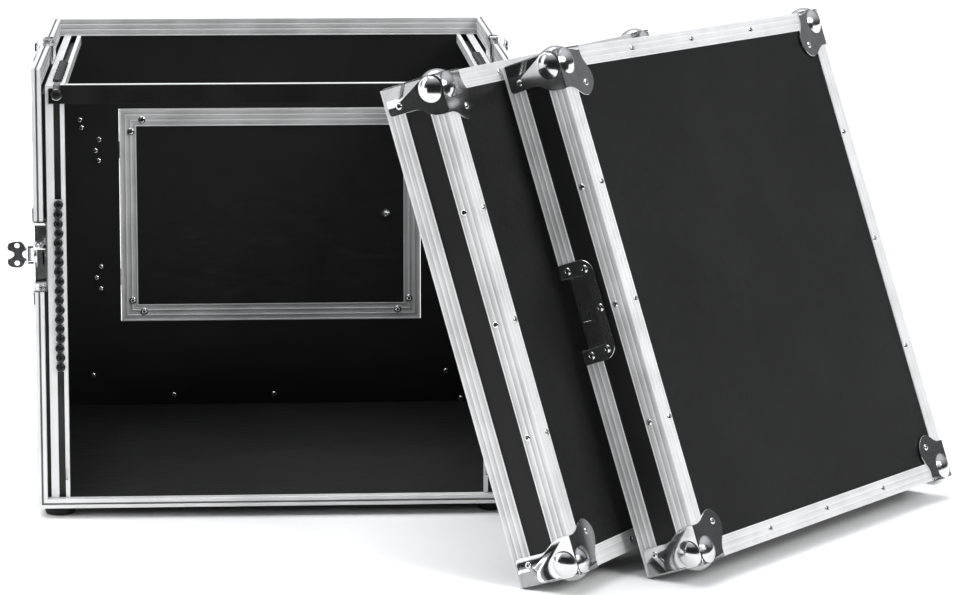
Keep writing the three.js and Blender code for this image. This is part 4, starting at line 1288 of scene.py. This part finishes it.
def area_light(name, position, aim, size, power):
    light = bpy.data.lights.new(name, "AREA")
    light.shape, light.size, light.size_y, light.energy = "RECTANGLE", size[0], size[1], power
    lamp = linked(name, light)
    lamp.location = position
    lamp.rotation_euler = (Vector(aim) - Vector(position)).to_track_quat("-Z", "Y").to_euler()


def sky():
    """A dim room: dark round the horizon, darkest behind the camera, and pale overhead."""
    world = bpy.data.worlds.new("studio")
    world.use_nodes = True
    nodes, links = world.node_tree.nodes, world.node_tree.links
    where = nodes.new("ShaderNodeTexCoord")
    parts = nodes.new("ShaderNodeSeparateXYZ")
    links.new(where.outputs["Generated"], parts.inputs["Vector"])
    mix = nodes.new("ShaderNodeMath")
    mix.operation = "MULTIPLY_ADD"
    mix.inputs[1].default_value = 0.3
    links.new(parts.outputs["Y"], mix.inputs[0])
    links.new(parts.outputs["Z"], mix.inputs[2])
    ramp = nodes.new("ShaderNodeValToRGB")
    ramp.color_ramp.interpolation = "EASE"
    stops = ((0.1, (0.02, 0.02, 0.021, 1)), (0.9, (0.85, 0.87, 0.9, 1)))
    for element, (position, colour) in zip(ramp.color_ramp.elements, stops):
        element.position, element.color = position, colour
    links.new(mix.outputs["Value"], ramp.inputs["Fac"])
    links.new(ramp.outputs["Color"], nodes["Background"].inputs["Color"])
    nodes["Background"].inputs["Strength"].default_value = 0.8
    bpy.context.scene.world = world


def broad_light(name, direction, strength, angle):
    """A very large far softbox, which lights the whole floor evenly."""
    light = bpy.data.lights.new(name, "SUN")
    light.energy, light.angle = strength, math.radians(angle)
    linked(name, light).rotation_euler = Vector(direction).to_track_quat("-Z", "Y").to_euler()


def dark_card():
    """A low black card round the camera's side, seen only in reflections, as chrome is photographed."""
    ends = arc(*CARD_CENTRE, CARD_RADIUS, -146, -21.8, 23)
    sheet = [[(x, y, z) for x, y in ends] for z in (FLOOR + 1, CARD_TOP)]
    card = Shape().add(loft(sheet, closed=False, caps=False))
    flag = linked("dark_card", card.mesh("dark_card"))
    flag.data.materials.append(dark_felt())
    flag.visible_camera = flag.visible_diffuse = flag.visible_shadow = flag.visible_transmission = False


def studio():
    spread = (-BOARD_HALF, BOARD_HALF)
    floor = Shape().add(block(*spread, *spread, FLOOR - BOARD_THICK, FLOOR))
    board = linked("studio_floor", floor.mesh("studio_floor"))
    board.data.materials.append(pale_floor())
    sky()
    broad_light("overhead", (0.2, -0.16, -1.0), 2.6, 60)
    broad_light("front_right", (-0.6, 0.55, -0.54), 1.6, 24)
    area_light("left_soft", (-2.6, 0.1, 1.3), (0, -0.1, 0.25), (0.9, 2.2), 26)
    dark_card()
    bpy.context.scene.view_settings.view_transform = "Standard"


def camera():
    azimuth, pitch, roll = (math.radians(angle) for angle in CAMERA_ANGLES)
    level = Vector((math.cos(azimuth), -math.sin(azimuth), 0))
    heading = Vector((math.sin(azimuth), math.cos(azimuth), 0))
    ahead = heading * math.cos(pitch) - Z * math.sin(pitch)
    upward = level.cross(ahead)
    right = level * math.cos(roll) + upward * math.sin(roll)
    up = upward * math.cos(roll) - level * math.sin(roll)
    lens = bpy.data.cameras.new("camera")
    lens.lens, lens.sensor_width = CAMERA_LENS, CAMERA_SENSOR
    made = linked("camera", lens)
    made.matrix_world = axes(CAMERA_SPOT, right, up, -ahead)
    bpy.context.scene.camera = made


camera()
studio()
finish_panels()
case_frames()
case_edges()
case_corners()
case_rivets()
rails()
screw_rows()
cross_bar()
feet()
rear_door()
wall_rivets()
latches()
handles()
covers()
